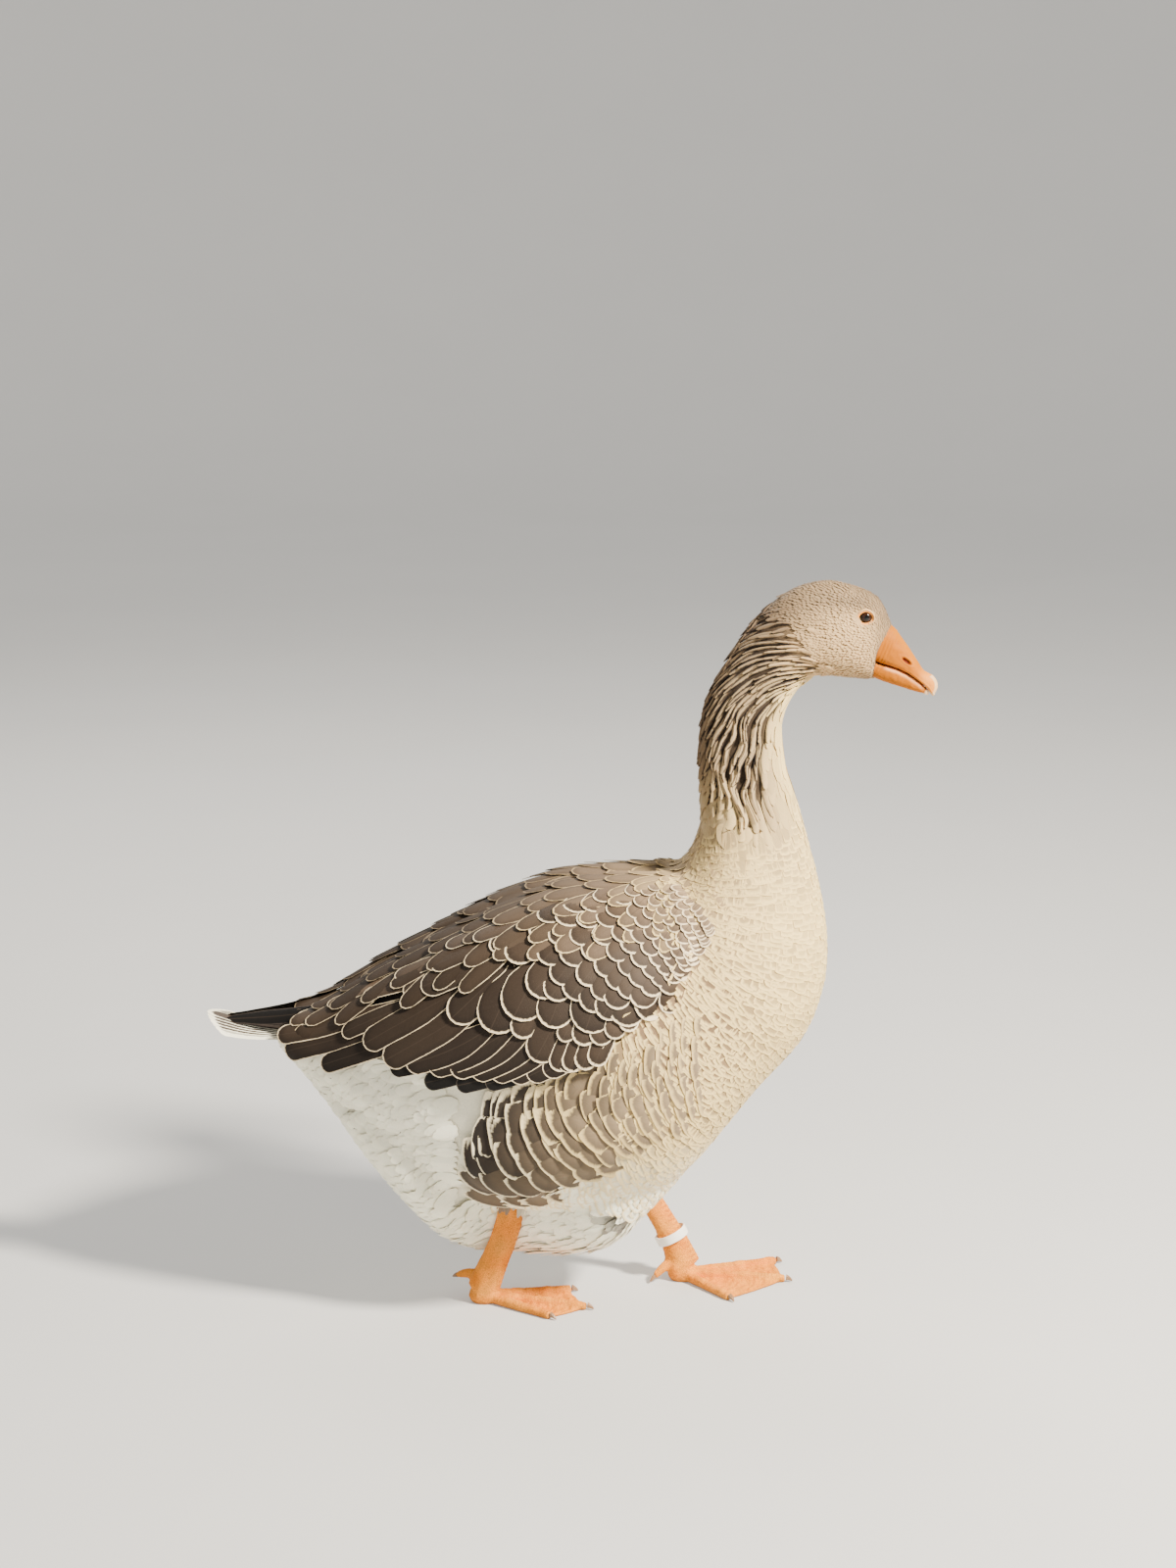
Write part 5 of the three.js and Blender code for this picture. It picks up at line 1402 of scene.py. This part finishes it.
def bill(which):
    upper = which == "upper"
    table = UPPER if upper else LOWER
    rings, sides = 150, 112
    s = 1 - (1 - np.linspace(0, 1, rings)) ** 1.35
    t = spline(table, s)
    x, top, low, half = [t[:, k][:, None] for k in range(4)]
    close = np.sqrt(np.clip(1 - ((s - .965) / .035).clip(0, 1) ** 2, .0025, 1))[:, None]
    a = np.linspace(0, 2 * math.pi, sides, endpoint=False)[None, :]
    c, w = np.cos(a), np.sin(a)
    if upper:
        # arched ridge above, nearly flat palate with overhanging edges below
        mid = low + (top - low) * .30
        up, down = (top - mid), (mid - low)
        h = mid + np.where(c > 0, up * np.abs(c) ** 1.02, -down * np.abs(c) ** .55)
        y = half * np.sign(w) * np.abs(w) ** np.where(c > 0, .86, .62)
    else:
        mid = top - (top - low) * .34
        h = mid + np.where(c > 0, (top - mid) * np.abs(c) ** .5, -(mid - low) * np.abs(c) ** .8)
        y = half * .97 * np.sign(w) * np.abs(w) ** np.where(c > 0, .55, .8)
    centre = low + (top - low) * .4
    h = centre + (h - centre) * close
    y = y * close
    a_ = np.broadcast_to(x, h.shape)
    p = bill_frame(a_, y, h)
    v, q, tr = grid_mesh(p)
    fn = np.cross(v[q[:, 1]] - v[q[:, 0]], v[q[:, 2]] - v[q[:, 0]])
    if dot(fn, v[q[:, 0]] - v.mean(0)).sum() < 0:
        q, tr = q[:, ::-1], tr[:, ::-1]
    tt = np.vstack([q[:, [0, 1, 2]], q[:, [0, 2, 3]], tr])
    n = vertex_normals(v, tt)
    d = v - GAPE
    along, up_, yy = d @ ALONG, d @ UPWARD, v[:, 1]
    col = np.repeat(srgb(.67, .375, .0)[None], len(v), 0)
    # painted shade: the horn is made darker towards the face, where the key light falls strongly
    col = col * (1 + .07 * waves(v, 9, 91)[:, None]) * (1 - .13 * smooth(26, 4, along)[:, None])
    push = .12 * waves(v, 5, 92) + .05 * waves(v, 2.2, 93)
    if upper:
        # nostril: a slit a third of the way along, with a soft rim
        na, nh = (along - 19.5) / 5.2, (up_ - (13.6 - .12 * (along - 19.5))) / 1.75
        slit = np.sqrt(na ** 2 + nh ** 2)
        side_ = smooth(3, 6, np.abs(yy))
        push -= 2.1 * smooth(1.12, .45, slit) * side_
        push += .38 * np.exp(-((slit - 1.45) / .35) ** 2) * side_
        basin = np.sqrt(((along - 17) / 13) ** 2 + ((up_ - 14) / 5.5) ** 2)
        push -= .55 * smooth(1.2, .3, basin) * side_
        # painted shade: the nostril's slit is coloured dark as the shade of its opening
        col = mix(col, srgb(.33, .085, .03), (smooth(1.25, .7, slit) * side_)[:, None])
        # ridge, and the grooves that run from it to the edge
        push += .35 * smooth(3.2, 0, np.abs(yy)) * smooth(44, 30, along)
        lip = up_ - np.interp(along, [t_[0] for t_ in UPPER], [t_[2] for t_ in UPPER])
        push += .30 * smooth(3.4, 1.6, lip) * smooth(-1, .5, lip)
        teeth = .5 + .5 * np.sin(along * 2 * math.pi / 1.55)
        band = smooth(1.9, .9, lip) * smooth(46, 40, along) * smooth(2, 7, along)
        push -= .34 * band * teeth
        col = mix(col, srgb(.80, .48, .16), (.6 * smooth(3.0, 1.2, lip) * smooth(4, 12, along))[:, None])
        # nail
        nail = smooth(45.0, 47.2, along + .14 * np.abs(yy) ** 1.5) * smooth(7.6, 6.2, np.abs(yy))
        push += .15 * nail * smooth(60, 50, along) - .28 * np.exp(-((along + .14 * np.abs(yy) ** 1.5 - 45.6) / .8) ** 2)
        col = mix(col, srgb(.82, .67, .49), nail[:, None])
        col = mix(col, srgb(.86, .55, .22), (.7 * smooth(30, 45, along) * (1 - nail))[:, None])
        col = mix(col, srgb(.70, .43, .0), (.5 * smooth(24, 34, up_ + .55 * along) * smooth(40, 20, along))[:, None])
        # wrinkles at the feather line
        push += .16 * np.sin(along * 2.1 + .25 * up_) * smooth(7, 0, along)
    else:
        lip = np.interp(along, [t_[0] for t_ in LOWER], [t_[1] for t_ in LOWER]) - up_
        band = smooth(4.2, 2.2, lip) * smooth(3, 9, along) * smooth(47, 40, along)
        teeth = .5 + .5 * np.sin(along * 2 * math.pi / 1.45)
        push -= .30 * band * teeth * smooth(.2, 1.0, lip)
        col = mix(col, srgb(.87, .62, .43), (.65 * band)[:, None])
        col = mix(col, srgb(.93, .80, .64), smooth(46.5, 49, along)[:, None])
        push -= .4 * np.exp(-((along - 46.4) / .8) ** 2)
        push += .14 * np.sin(along * 1.9) * smooth(7, 0, along)
    v = v + n * push[:, None]
    obj = make_mesh("bill_horn_" + which, v, q, tr)
    put_attribute(obj.data, "base", "FLOAT_COLOR", np.hstack([np.clip(col, 0, 1), np.ones((len(v), 1))]))
    finish_shading(obj)
    return obj


def skin_material(name, rough, coat, soft, grain, bump, dirt_and_seam_shade=None, dirt_amount=.3, cell=0.0, gloss=.3):
    m = Shader(name)
    xyz = m.object_coords()
    fine = m.noise(xyz, grain, 3.0, .6)
    broad = m.noise(xyz, 90.0, 2.0)
    tone = m.math("ADD", m.math("MULTIPLY", fine, .22), m.math("ADD", m.math("MULTIPLY", broad, .2), .79))
    col = m.mix(1.0, m.attribute("base", "Color"), m.vector(tone, tone, tone), "MULTIPLY")
    height = fine
    if cell:
        vor = m.node("TexVoronoi", dict(feature="DISTANCE_TO_EDGE"), Vector=xyz, Scale=cell).outputs[0]
        line = m.ramp(vor, .0, .16)
        height = m.math("ADD", m.math("MULTIPLY", fine, .35), line)
        # painted shade: the seams between the scales darken towards the dirt colour
        col = m.mix(m.math("MULTIPLY", m.math("SUBTRACT", 1.0, line), .45), col, dirt_and_seam_shade)
    if dirt_and_seam_shade is not None:
        patch = m.ramp(m.noise(xyz, 45.0, 4.0, .65), .52, .72)
        col = m.mix(m.math("MULTIPLY", patch, dirt_amount), col, dirt_and_seam_shade)
    m.put(m.bsdf.inputs["Base Color"], col)
    m.put(m.bsdf.inputs["Roughness"], m.ramp(fine, .2, .8, rough, rough + .16))
    m.set(Coat_Weight=coat, Coat_Roughness=.25, Subsurface_Weight=soft, Subsurface_Scale=.002, Specular_IOR_Level=gloss)
    m.bsdf.inputs["Subsurface Radius"].default_value = (1, .35, .15)
    m.bump(height, bump, .7)
    return m.mat


horn = skin_material("bill_horn", .46, 0.0, .02, 900.0, .00012, srgb(.48, .20, .01), .15, gloss=.08)
for _which in ("upper", "lower"):
    _obj = bill(_which)
    _obj.data.materials.append(horn)
    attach(_obj, "root")
    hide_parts("bill_" + _which)


# ---------------------------------------------------------------- eyes and lids
def eye(sign):
    """Eyeball with a raised cornea, and a fleshy ring of lids set in the feathers."""
    axis = unit(np.array([.10, sign * 1.0, .05]))
    u = unit(np.cross(axis, [0, 0, 1.0]))
    w = np.cross(u, axis)
    at = EYE_AT * [1, sign, 1]
    hit = GUIDE.tree.ray_cast(tuple(at + [0, sign * 40, 0]), (0, -sign, 0), 60)[0]
    surface = abs(hit[1])
    rings, sides = 60, 72
    phi = np.linspace(.001, math.pi - .001, rings)[:, None]
    a = np.linspace(0, 2 * math.pi, sides, endpoint=False)[None, :]
    radius = EYE_RADIUS + .55 * np.exp(-(phi / .42) ** 2)
    centre = at * [1, 0, 1] + [0, sign * (surface + .9 - EYE_RADIUS - .55), 0]
    p = centre + radius[..., None] * (np.cos(phi)[..., None] * axis + np.sin(phi)[..., None] * (np.cos(a)[..., None] * u + np.sin(a)[..., None] * w))
    v, q, t = grid_mesh(p)
    if dot(np.cross(v[q[:, 1]] - v[q[:, 0]], v[q[:, 2]] - v[q[:, 0]]), v[q[:, 0]] - centre).sum() < 0:
        q, t = q[:, ::-1], t[:, ::-1]
    ball = make_mesh("eyeball_" + ("left" if sign > 0 else "right"), v, q, t)
    d = unit(v - centre)
    off = np.degrees(np.arccos(np.clip(d @ axis, -1, 1)))
    put_attribute(ball.data, "polar", "FLOAT_VECTOR", np.stack([off, np.degrees(np.arctan2(d @ w, d @ u)), 0 * off], -1))
    finish_shading(ball)
    # lids: an almond opening, thick fleshy rim, fading into the feathers
    k, sides = 26, 120
    a = np.linspace(0, 2 * math.pi, sides, endpoint=False)[None, :]
    f = np.linspace(0, 1, k)[:, None]
    open_x, open_y = 5.15, 4.45
    inner = np.stack([open_x * np.cos(a) + .35 * np.cos(a) ** 3, open_y * np.sin(a) - .25 * np.cos(2 * a)], -1)
    grow = np.interp(f, [0, .25, .55, .8, 1], [0, .35, 1.35, 2.2, 3.2])
    dirn = unit(inner)
    flat = inner + dirn * (grow * 1.02)[..., None]
    r2 = np.linalg.norm(flat, axis=-1)
    ball_h = np.sqrt(np.maximum((EYE_RADIUS + .02) ** 2 - r2 ** 2, 9)) - EYE_RADIUS - .45
    rim = np.interp(f, [0, .12, .3, .55, .8, 1], [-.35, .18, .48, .40, -.25, -1.8])
    surf = (surface + .9) - .0
    blend = smooth(.2, .8, f)
    base_h = mix(ball_h + .4, 0 * r2 - .75, blend)
    wrinkle = .10 * np.sin(a * 26 + 5 * f) * smooth(.2, .5, f) * smooth(1, .7, f)
    h = base_h + rim + wrinkle + .25 * smooth(.1, .5, f) * np.maximum(np.sin(a), 0) * smooth(1, .6, f)
    place = at * [1, 0, 1] + [0, sign * surf, 0]
    top = place + flat[..., 0:1] * u * 1.0 + flat[..., 1:2] * w + h[..., None] * axis
    under = top - axis * np.interp(f, [0, .5, 1], [.5, 1.2, .6])[..., None] - 0 * axis
    ring = np.concatenate([top, under[::-1]], 0)
    m = len(ring)
    idx = np.arange(m * sides).reshape(m, sides)
    i, j = np.meshgrid(np.arange(m), np.arange(sides), indexing="ij")
    qq = np.stack([idx[i, j], idx[i, (j + 1) % sides], idx[(i + 1) % m, (j + 1) % sides], idx[(i + 1) % m, j]], -1).reshape(-1, 4)
    vv = ring.reshape(-1, 3)
    fn = np.cross(vv[qq[:, 1]] - vv[qq[:, 0]], vv[qq[:, 2]] - vv[qq[:, 0]])
    top_faces = (i < k - 1).ravel()
    if (fn[top_faces] @ axis).sum() < 0:
        qq = qq[:, ::-1]
    lid = make_mesh("eyelids_" + ("left" if sign > 0 else "right"), vv, qq)
    ff = np.concatenate([f[:, 0], f[::-1, 0]])[:, None] * np.ones((1, sides))
    # painted shade: dark brown at the lids' inner edge, where they meet the eyeball
    col = mix(srgb(.26, .12, .05), srgb(.90, .56, .19), smooth(.02, .16, ff)[..., None])
    col = mix(col, srgb(.76, .62, .43), smooth(.42, .8, ff)[..., None])
    put_attribute(lid.data, "base", "FLOAT_COLOR", np.concatenate([col, np.ones(col.shape[:2] + (1,))], -1).reshape(-1, 4))
    finish_shading(lid)
    return ball, lid


def eye_material():
    m = Shader("eye")
    xyz = m.node("SeparateXYZ", None, i0=m.attribute("polar", "Vector")).outputs
    off, turn = xyz[0], xyz[1]
    rays = m.noise(m.vector(m.math("MULTIPLY", turn, .22), m.math("MULTIPLY", off, .06), 0.0), 1.0, 3.0)
    iris = m.mix(rays, tuple(srgb(.10, .05, .025)), tuple(srgb(.21, .11, .055)))
    iris = m.mix(m.ramp(off, 27, 36), iris, tuple(srgb(.05, .03, .02)))
    col = m.mix(m.ramp(off, 15.5, 17.5), (.003, .003, .003), iris)
    m.put(m.bsdf.inputs["Base Color"], col)
    m.put(m.bsdf.inputs["Roughness"], m.ramp(rays, 0, 1, .05, .09))
    m.set(Specular_IOR_Level=.32)
    return m.mat


_eye_mat = eye_material()
_lid_mat = skin_material("eyelid", .45, .1, .15, 1500.0, .00008, srgb(.5, .3, .15), .2)
for _sign, _label in ((1, "left"), (-1, "right")):
    _ball, _lid = eye(_sign)
    _ball.data.materials.append(_eye_mat)
    _lid.data.materials.append(_lid_mat)
    for _o in (_ball, _lid):
        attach(_o, "root")
    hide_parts("eye_" + _label)


# ---------------------------------------------------------------- legs, feet, claws and ring
def leg(label):
    """Leg and webbed foot as one scaly skin, from the frame's own solids."""
    vs, ts, base = [], [], 0
    for node in ("leg_" + label, "foot_" + label):
        v, t, _ = arrays_of(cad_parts[node])
        c = v + vertex_normals(v, t) * .22
        vs.append(c), ts.append(t + base)
        base += len(v)
    obj = make_mesh("leg_skin_" + label, np.vstack(vs), None, np.vstack(ts))
    evaluated(obj, [("REMESH", dict(mode="VOXEL", voxel_size=0.00105, adaptivity=0))])
    v, t, _ = arrays_of(obj)
    thin = smooth(9, 5, v[:, 2])
    v0 = v.copy()
    v = relax(v, t, 14, .5, 1 - .55 * thin)
    v[:, 2] = np.where(v0[:, 2] < .35, np.minimum(v[:, 2], .12), v[:, 2])
    n = vertex_normals(v, t)
    return obj, v, t, n


def polyline_distance(p, line):
    """Distance along and from a polyline for points."""
    best, at = np.full(len(p), 1e9), np.zeros(len(p))
    run = 0.0
    for a, b in zip(line[:-1], line[1:]):
        ab = b - a
        length = np.linalg.norm(ab)
        f = np.clip(((p - a) @ ab) / length ** 2, 0, 1)
        d = np.linalg.norm(p - a - f[:, None] * ab, axis=1)
        near_ = d < best
        best[near_], at[near_] = d[near_], (run + f * length)[near_]
        run += length
    return best, at



def finish_leg(label):
    obj, v, t, n = leg(label)
    spec = LEG_LINES[label]
    ball = np.array([*spec["ball"], 4.5])
    shank = np.array(spec["shank"], float)
    dist, at = polyline_distance(v, shank)
    front = n @ unit(np.array([1.0, 0, .35]))
    on_shank = smooth(10, 18, v[:, 2]) * smooth(19, 14, dist)
    push = np.zeros(len(v))
    # overlapping scutes down the front of the shank
    saw = (at / 4.6) % 1.0
    scute = np.where(saw < .86, saw * .5, .43 * (1 - saw) / .14)
    push += 1.0 * (scute - .2) * smooth(.15, .7, front) * on_shank
    toe_near, toe_at = np.full(len(v), 1e9), np.zeros(len(v))
    for deg, length in spec["toes"]:
        r = math.radians(deg)
        end = ball + np.array([math.cos(r), math.sin(r), 0]) * length - [0, 0, 1.2]
        d, a = polyline_distance(v, np.array([ball, end]))
        better = d < toe_near
        toe_near[better], toe_at[better] = d[better], a[better]
    on_toe = smooth(6.4, 3.6, toe_near) * smooth(16, 9, v[:, 2])
    up = smooth(.1, .7, n[:, 2])
    saw = (toe_at / 3.1) % 1.0
    scute = np.where(saw < .82, saw * .5, .41 * (1 - saw) / .18)
    push += .85 * (scute - .2) * on_toe * up
    # knuckles where the toe bones meet
    push += .7 * np.maximum(np.cos(toe_at * 2 * math.pi / 29), 0) ** 3 * on_toe * smooth(.0, .6, n[:, 2]) * smooth(6, 20, toe_at)
    # web: fine creases across, sagging between the toes
    web = (1 - smooth(7, 3.5, toe_near)) * smooth(12, 6, v[:, 2])
    radial = np.hypot(v[:, 0] - ball[0], v[:, 1] - ball[1])
    push += web * up * (.42 * np.sin(radial * .95 + 2.6 * waves(v, 18, 95)) + .5 * waves(v, 8, 96) - .5 * smooth(7, 12, toe_near))
    # small round scales elsewhere
    push += .16 * waves(v, 3.0, 97, 1) * (1 - on_toe * up) * smooth(.3, 1.2, v[:, 2])
    push *= smooth(.4, 1.6, v[:, 2])
    v = v + n * push[:, None]
    v[:, 2] = np.maximum(v[:, 2], .02)
    orange, pink, pale = srgb(.92, .53, .08), srgb(.93, .56, .19), srgb(.97, .70, .28)
    col = mix(orange, pale, (.5 + .5 * waves(v, 34, 98))[:, None] * .55)
    col = mix(col, pink, (smooth(20, 70, v[:, 2]) * .45)[:, None])
    col = mix(col, srgb(.90, .52, .10), (web * .5)[:, None])
    col = col * (1 + .12 * waves(v, 12, 94)[:, None])
    # painted shade in the creases between scutes, knuckles and web folds
    crease_shade = smooth(.12, -.25, push)[:, None]
    col = mix(col, srgb(.56, .25, .09), .5 * crease_shade * (smooth(.15, .7, front) * on_shank + on_toe * up)[:, None].clip(0, 1))
    # darker brown within 4.5 mm of the floor, on faces not turned up
    col = mix(col, srgb(.46, .31, .20), (.5 * smooth(4.5, .5, v[:, 2]) * (1 - up))[:, None])
    me = obj.data
    me.vertices.foreach_set("co", ((v + [SHIFT, 0, 0]) / 1000).astype(np.float32).ravel())
    put_attribute(me, "base", "FLOAT_COLOR", np.hstack([np.clip(col, 0, 1), np.ones((len(col), 1))]))
    finish_shading(obj)
    return obj


leg_material = skin_material("leg_skin", .52, 0.0, .04, 1100.0, .00022, srgb(.50, .23, .06), .2, 620.0, gloss=.14)
for _label in ("right", "left"):
    _obj = finish_leg(_label)
    _obj.data.materials.append(leg_material)
    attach(_obj, "root")
    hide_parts("leg_" + _label, "foot_" + _label)


def claw_material():
    m = Shader("claw_horn")
    xyz = m.object_coords()
    n = m.noise(xyz, 700.0, 3.0)
    m.put(m.bsdf.inputs["Base Color"], m.mix(n, tuple(srgb(.40, .29, .20)), tuple(srgb(.66, .50, .35))))
    m.put(m.bsdf.inputs["Roughness"], m.ramp(n, 0, 1, .3, .5))
    m.set(Coat_Weight=.2)
    m.bump(n, .0001, .5)
    return m.mat


_claw = claw_material()
for _node, _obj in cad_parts.items():
    if _node.startswith("claw_"):
        _obj.data.materials.clear() if not _obj.material_slots else None
        if _obj.material_slots:
            for _slot in _obj.material_slots:
                _slot.material = _claw
        else:
            _obj.data.materials.append(_claw)


def leg_band():
    """Split plastic band square to the leg, its ends overlapping."""
    v, t, _ = arrays_of(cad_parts["leg_ring"])
    c = (v.max(0) + v.min(0)) / 2
    w, e = np.linalg.eigh(np.cov((v - v.mean(0)).T))
    axis = e[:, 0] * np.sign(e[2, 0])
    c = v.mean(0)
    u = unit(np.cross(axis, [0, 1.0, 0]))
    k = np.cross(axis, u)
    outer = np.linalg.norm((v - c) - ((v - c) @ axis)[:, None] * axis, axis=1).max()
    high = np.ptp((v - c) @ axis)
    thick = 1.35
    turns = 1.13
    steps, prof = 170, 20
    a = np.linspace(0, 2 * math.pi * turns, steps)
    pa = np.linspace(0, 2 * math.pi, prof, endpoint=False)
    px = np.sign(np.cos(pa)) * np.abs(np.cos(pa)) ** .35 * thick / 2
    pz = np.sign(np.sin(pa)) * np.abs(np.sin(pa)) ** .25 * high / 2
    lap = smooth(2 * math.pi * (turns - 1) * 1.6, 0, a) * thick * .98
    end = np.sqrt(np.clip(1 - (1 - np.minimum(a, a[::-1]) / .035).clip(0, 1) ** 2, .01, 1))
    r = (outer - thick * .55) - lap
    rad = r[:, None] + px[None] * end[:, None]
    p = c + rad[..., None] * (np.cos(a)[:, None, None] * u + np.sin(a)[:, None, None] * k) + (pz[None] * (.9 + .1 * end[:, None]))[..., None] * axis
    vv, q, tt = grid_mesh(p)
    fn = np.cross(vv[q[:, 1]] - vv[q[:, 0]], vv[q[:, 2]] - vv[q[:, 0]])
    mid = vv[q].mean(1)
    axisp = c + (r[np.clip((q[:, 0] // prof), 0, steps - 1)])[:, None] * unit((mid - c) - ((mid - c) @ axis)[:, None] * axis)
    if dot(fn, mid - axisp).sum() < 0:
        q, tt = q[:, ::-1], tt[:, ::-1]
    obj = make_mesh("leg_band", vv, q, tt)
    finish_shading(obj, 50)
    m = Shader("band_plastic")
    xyz = m.object_coords()
    n = m.noise(xyz, 160.0, 4.0)
    scuff = m.ramp(m.noise(m.node("Mapping", None, Vector=xyz, Scale=(1, 1, 6)).outputs[0], 260.0, 4.0, .7), .55, .75)
    col = m.mix(n, tuple(srgb(.93, .92, .88)), tuple(srgb(.97, .96, .93)))
    col = m.mix(m.math("MULTIPLY", scuff, .35), col, tuple(srgb(.72, .64, .52)))
    m.put(m.bsdf.inputs["Base Color"], col)
    m.put(m.bsdf.inputs["Roughness"], m.ramp(scuff, 0, 1, .32, .6))
    m.bump(scuff, .00006, .5)
    obj.data.materials.append(m.mat)
    return obj


_band = leg_band()
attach(_band, "root")
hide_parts("leg_ring")


# ---------------------------------------------------------------- floor and light
def floor_material():
    m = Shader("floor")
    n = m.noise(m.object_coords(), 3.0, 4.0)
    m.put(m.bsdf.inputs["Base Color"], m.mix(n, (.48, .476, .465), (.52, .515, .503)))
    m.set(Roughness=.95, Specular_IOR_Level=.1, Emission_Strength=.25)
    m.bsdf.inputs["Emission Color"].default_value = (1, .99, .965, 1)
    return m.mat


def studio_floor():
    """A round floor that sweeps up into a plain backdrop all about."""
    t = np.linspace(0, math.pi / 2, 16)
    r = np.concatenate([[.4, 1.5, 3.5, 5.5], 5.5 + 2.6 * np.sin(t[1:]), [8.1, 8.1]])
    z = np.concatenate([[0, 0, 0, 0], 2.6 * (1 - np.cos(t[1:])), [4.5, 7.0]])
    a = np.linspace(0, 2 * math.pi, 96, endpoint=False)
    p = np.stack([r[:, None] * np.cos(a), r[:, None] * np.sin(a), z[:, None] + 0 * a], -1)
    n, m = p.shape[:2]
    i, j = np.meshgrid(np.arange(n - 1), np.arange(m), indexing="ij")
    k, l = i * m + j, i * m + (j + 1) % m
    quads = np.stack([k, k + m, l + m, l], -1).reshape(-1, 4)
    v = np.vstack([p.reshape(-1, 3), [[0, 0, 0]]])
    w = np.arange(m)
    obj = make_mesh("floor", v, quads, np.stack([w, (w + 1) % m, np.full(m, n * m)], -1), shift=False)
    finish_shading(obj)
    obj.data.materials.append(floor_material())
    return obj


studio_floor()


def area(name, where, target, size, power, colour):
    light = bpy.data.lights.new(name, "AREA")
    light.shape, light.size, light.energy, light.color = "DISK", size, power, colour
    obj = bpy.data.objects.new(name, light)
    obj.location = where
    obj.rotation_euler = (Vector(target) - Vector(where)).to_track_quat("-Z", "Y").to_euler()
    bpy.context.scene.collection.objects.link(obj)


area("key", (1.85, -1.25, 2.2), (0, 0, .33), .42, 385, (1, .925, .80))
area("fill", (-1.6, -2.3, 1.2), (0, 0, .3), 2.2, 5, (1, .98, .95))
area("back", (-.6, 2.0, 2.2), (0, 0, .3), 1.6, 50, (1, .96, .9))
world = bpy.data.worlds.new("studio")
bpy.context.scene.world = world
world.use_nodes = True
world.node_tree.nodes["Background"].inputs[0].default_value = (1, .985, .955, 1)
world.node_tree.nodes["Background"].inputs[1].default_value = .34
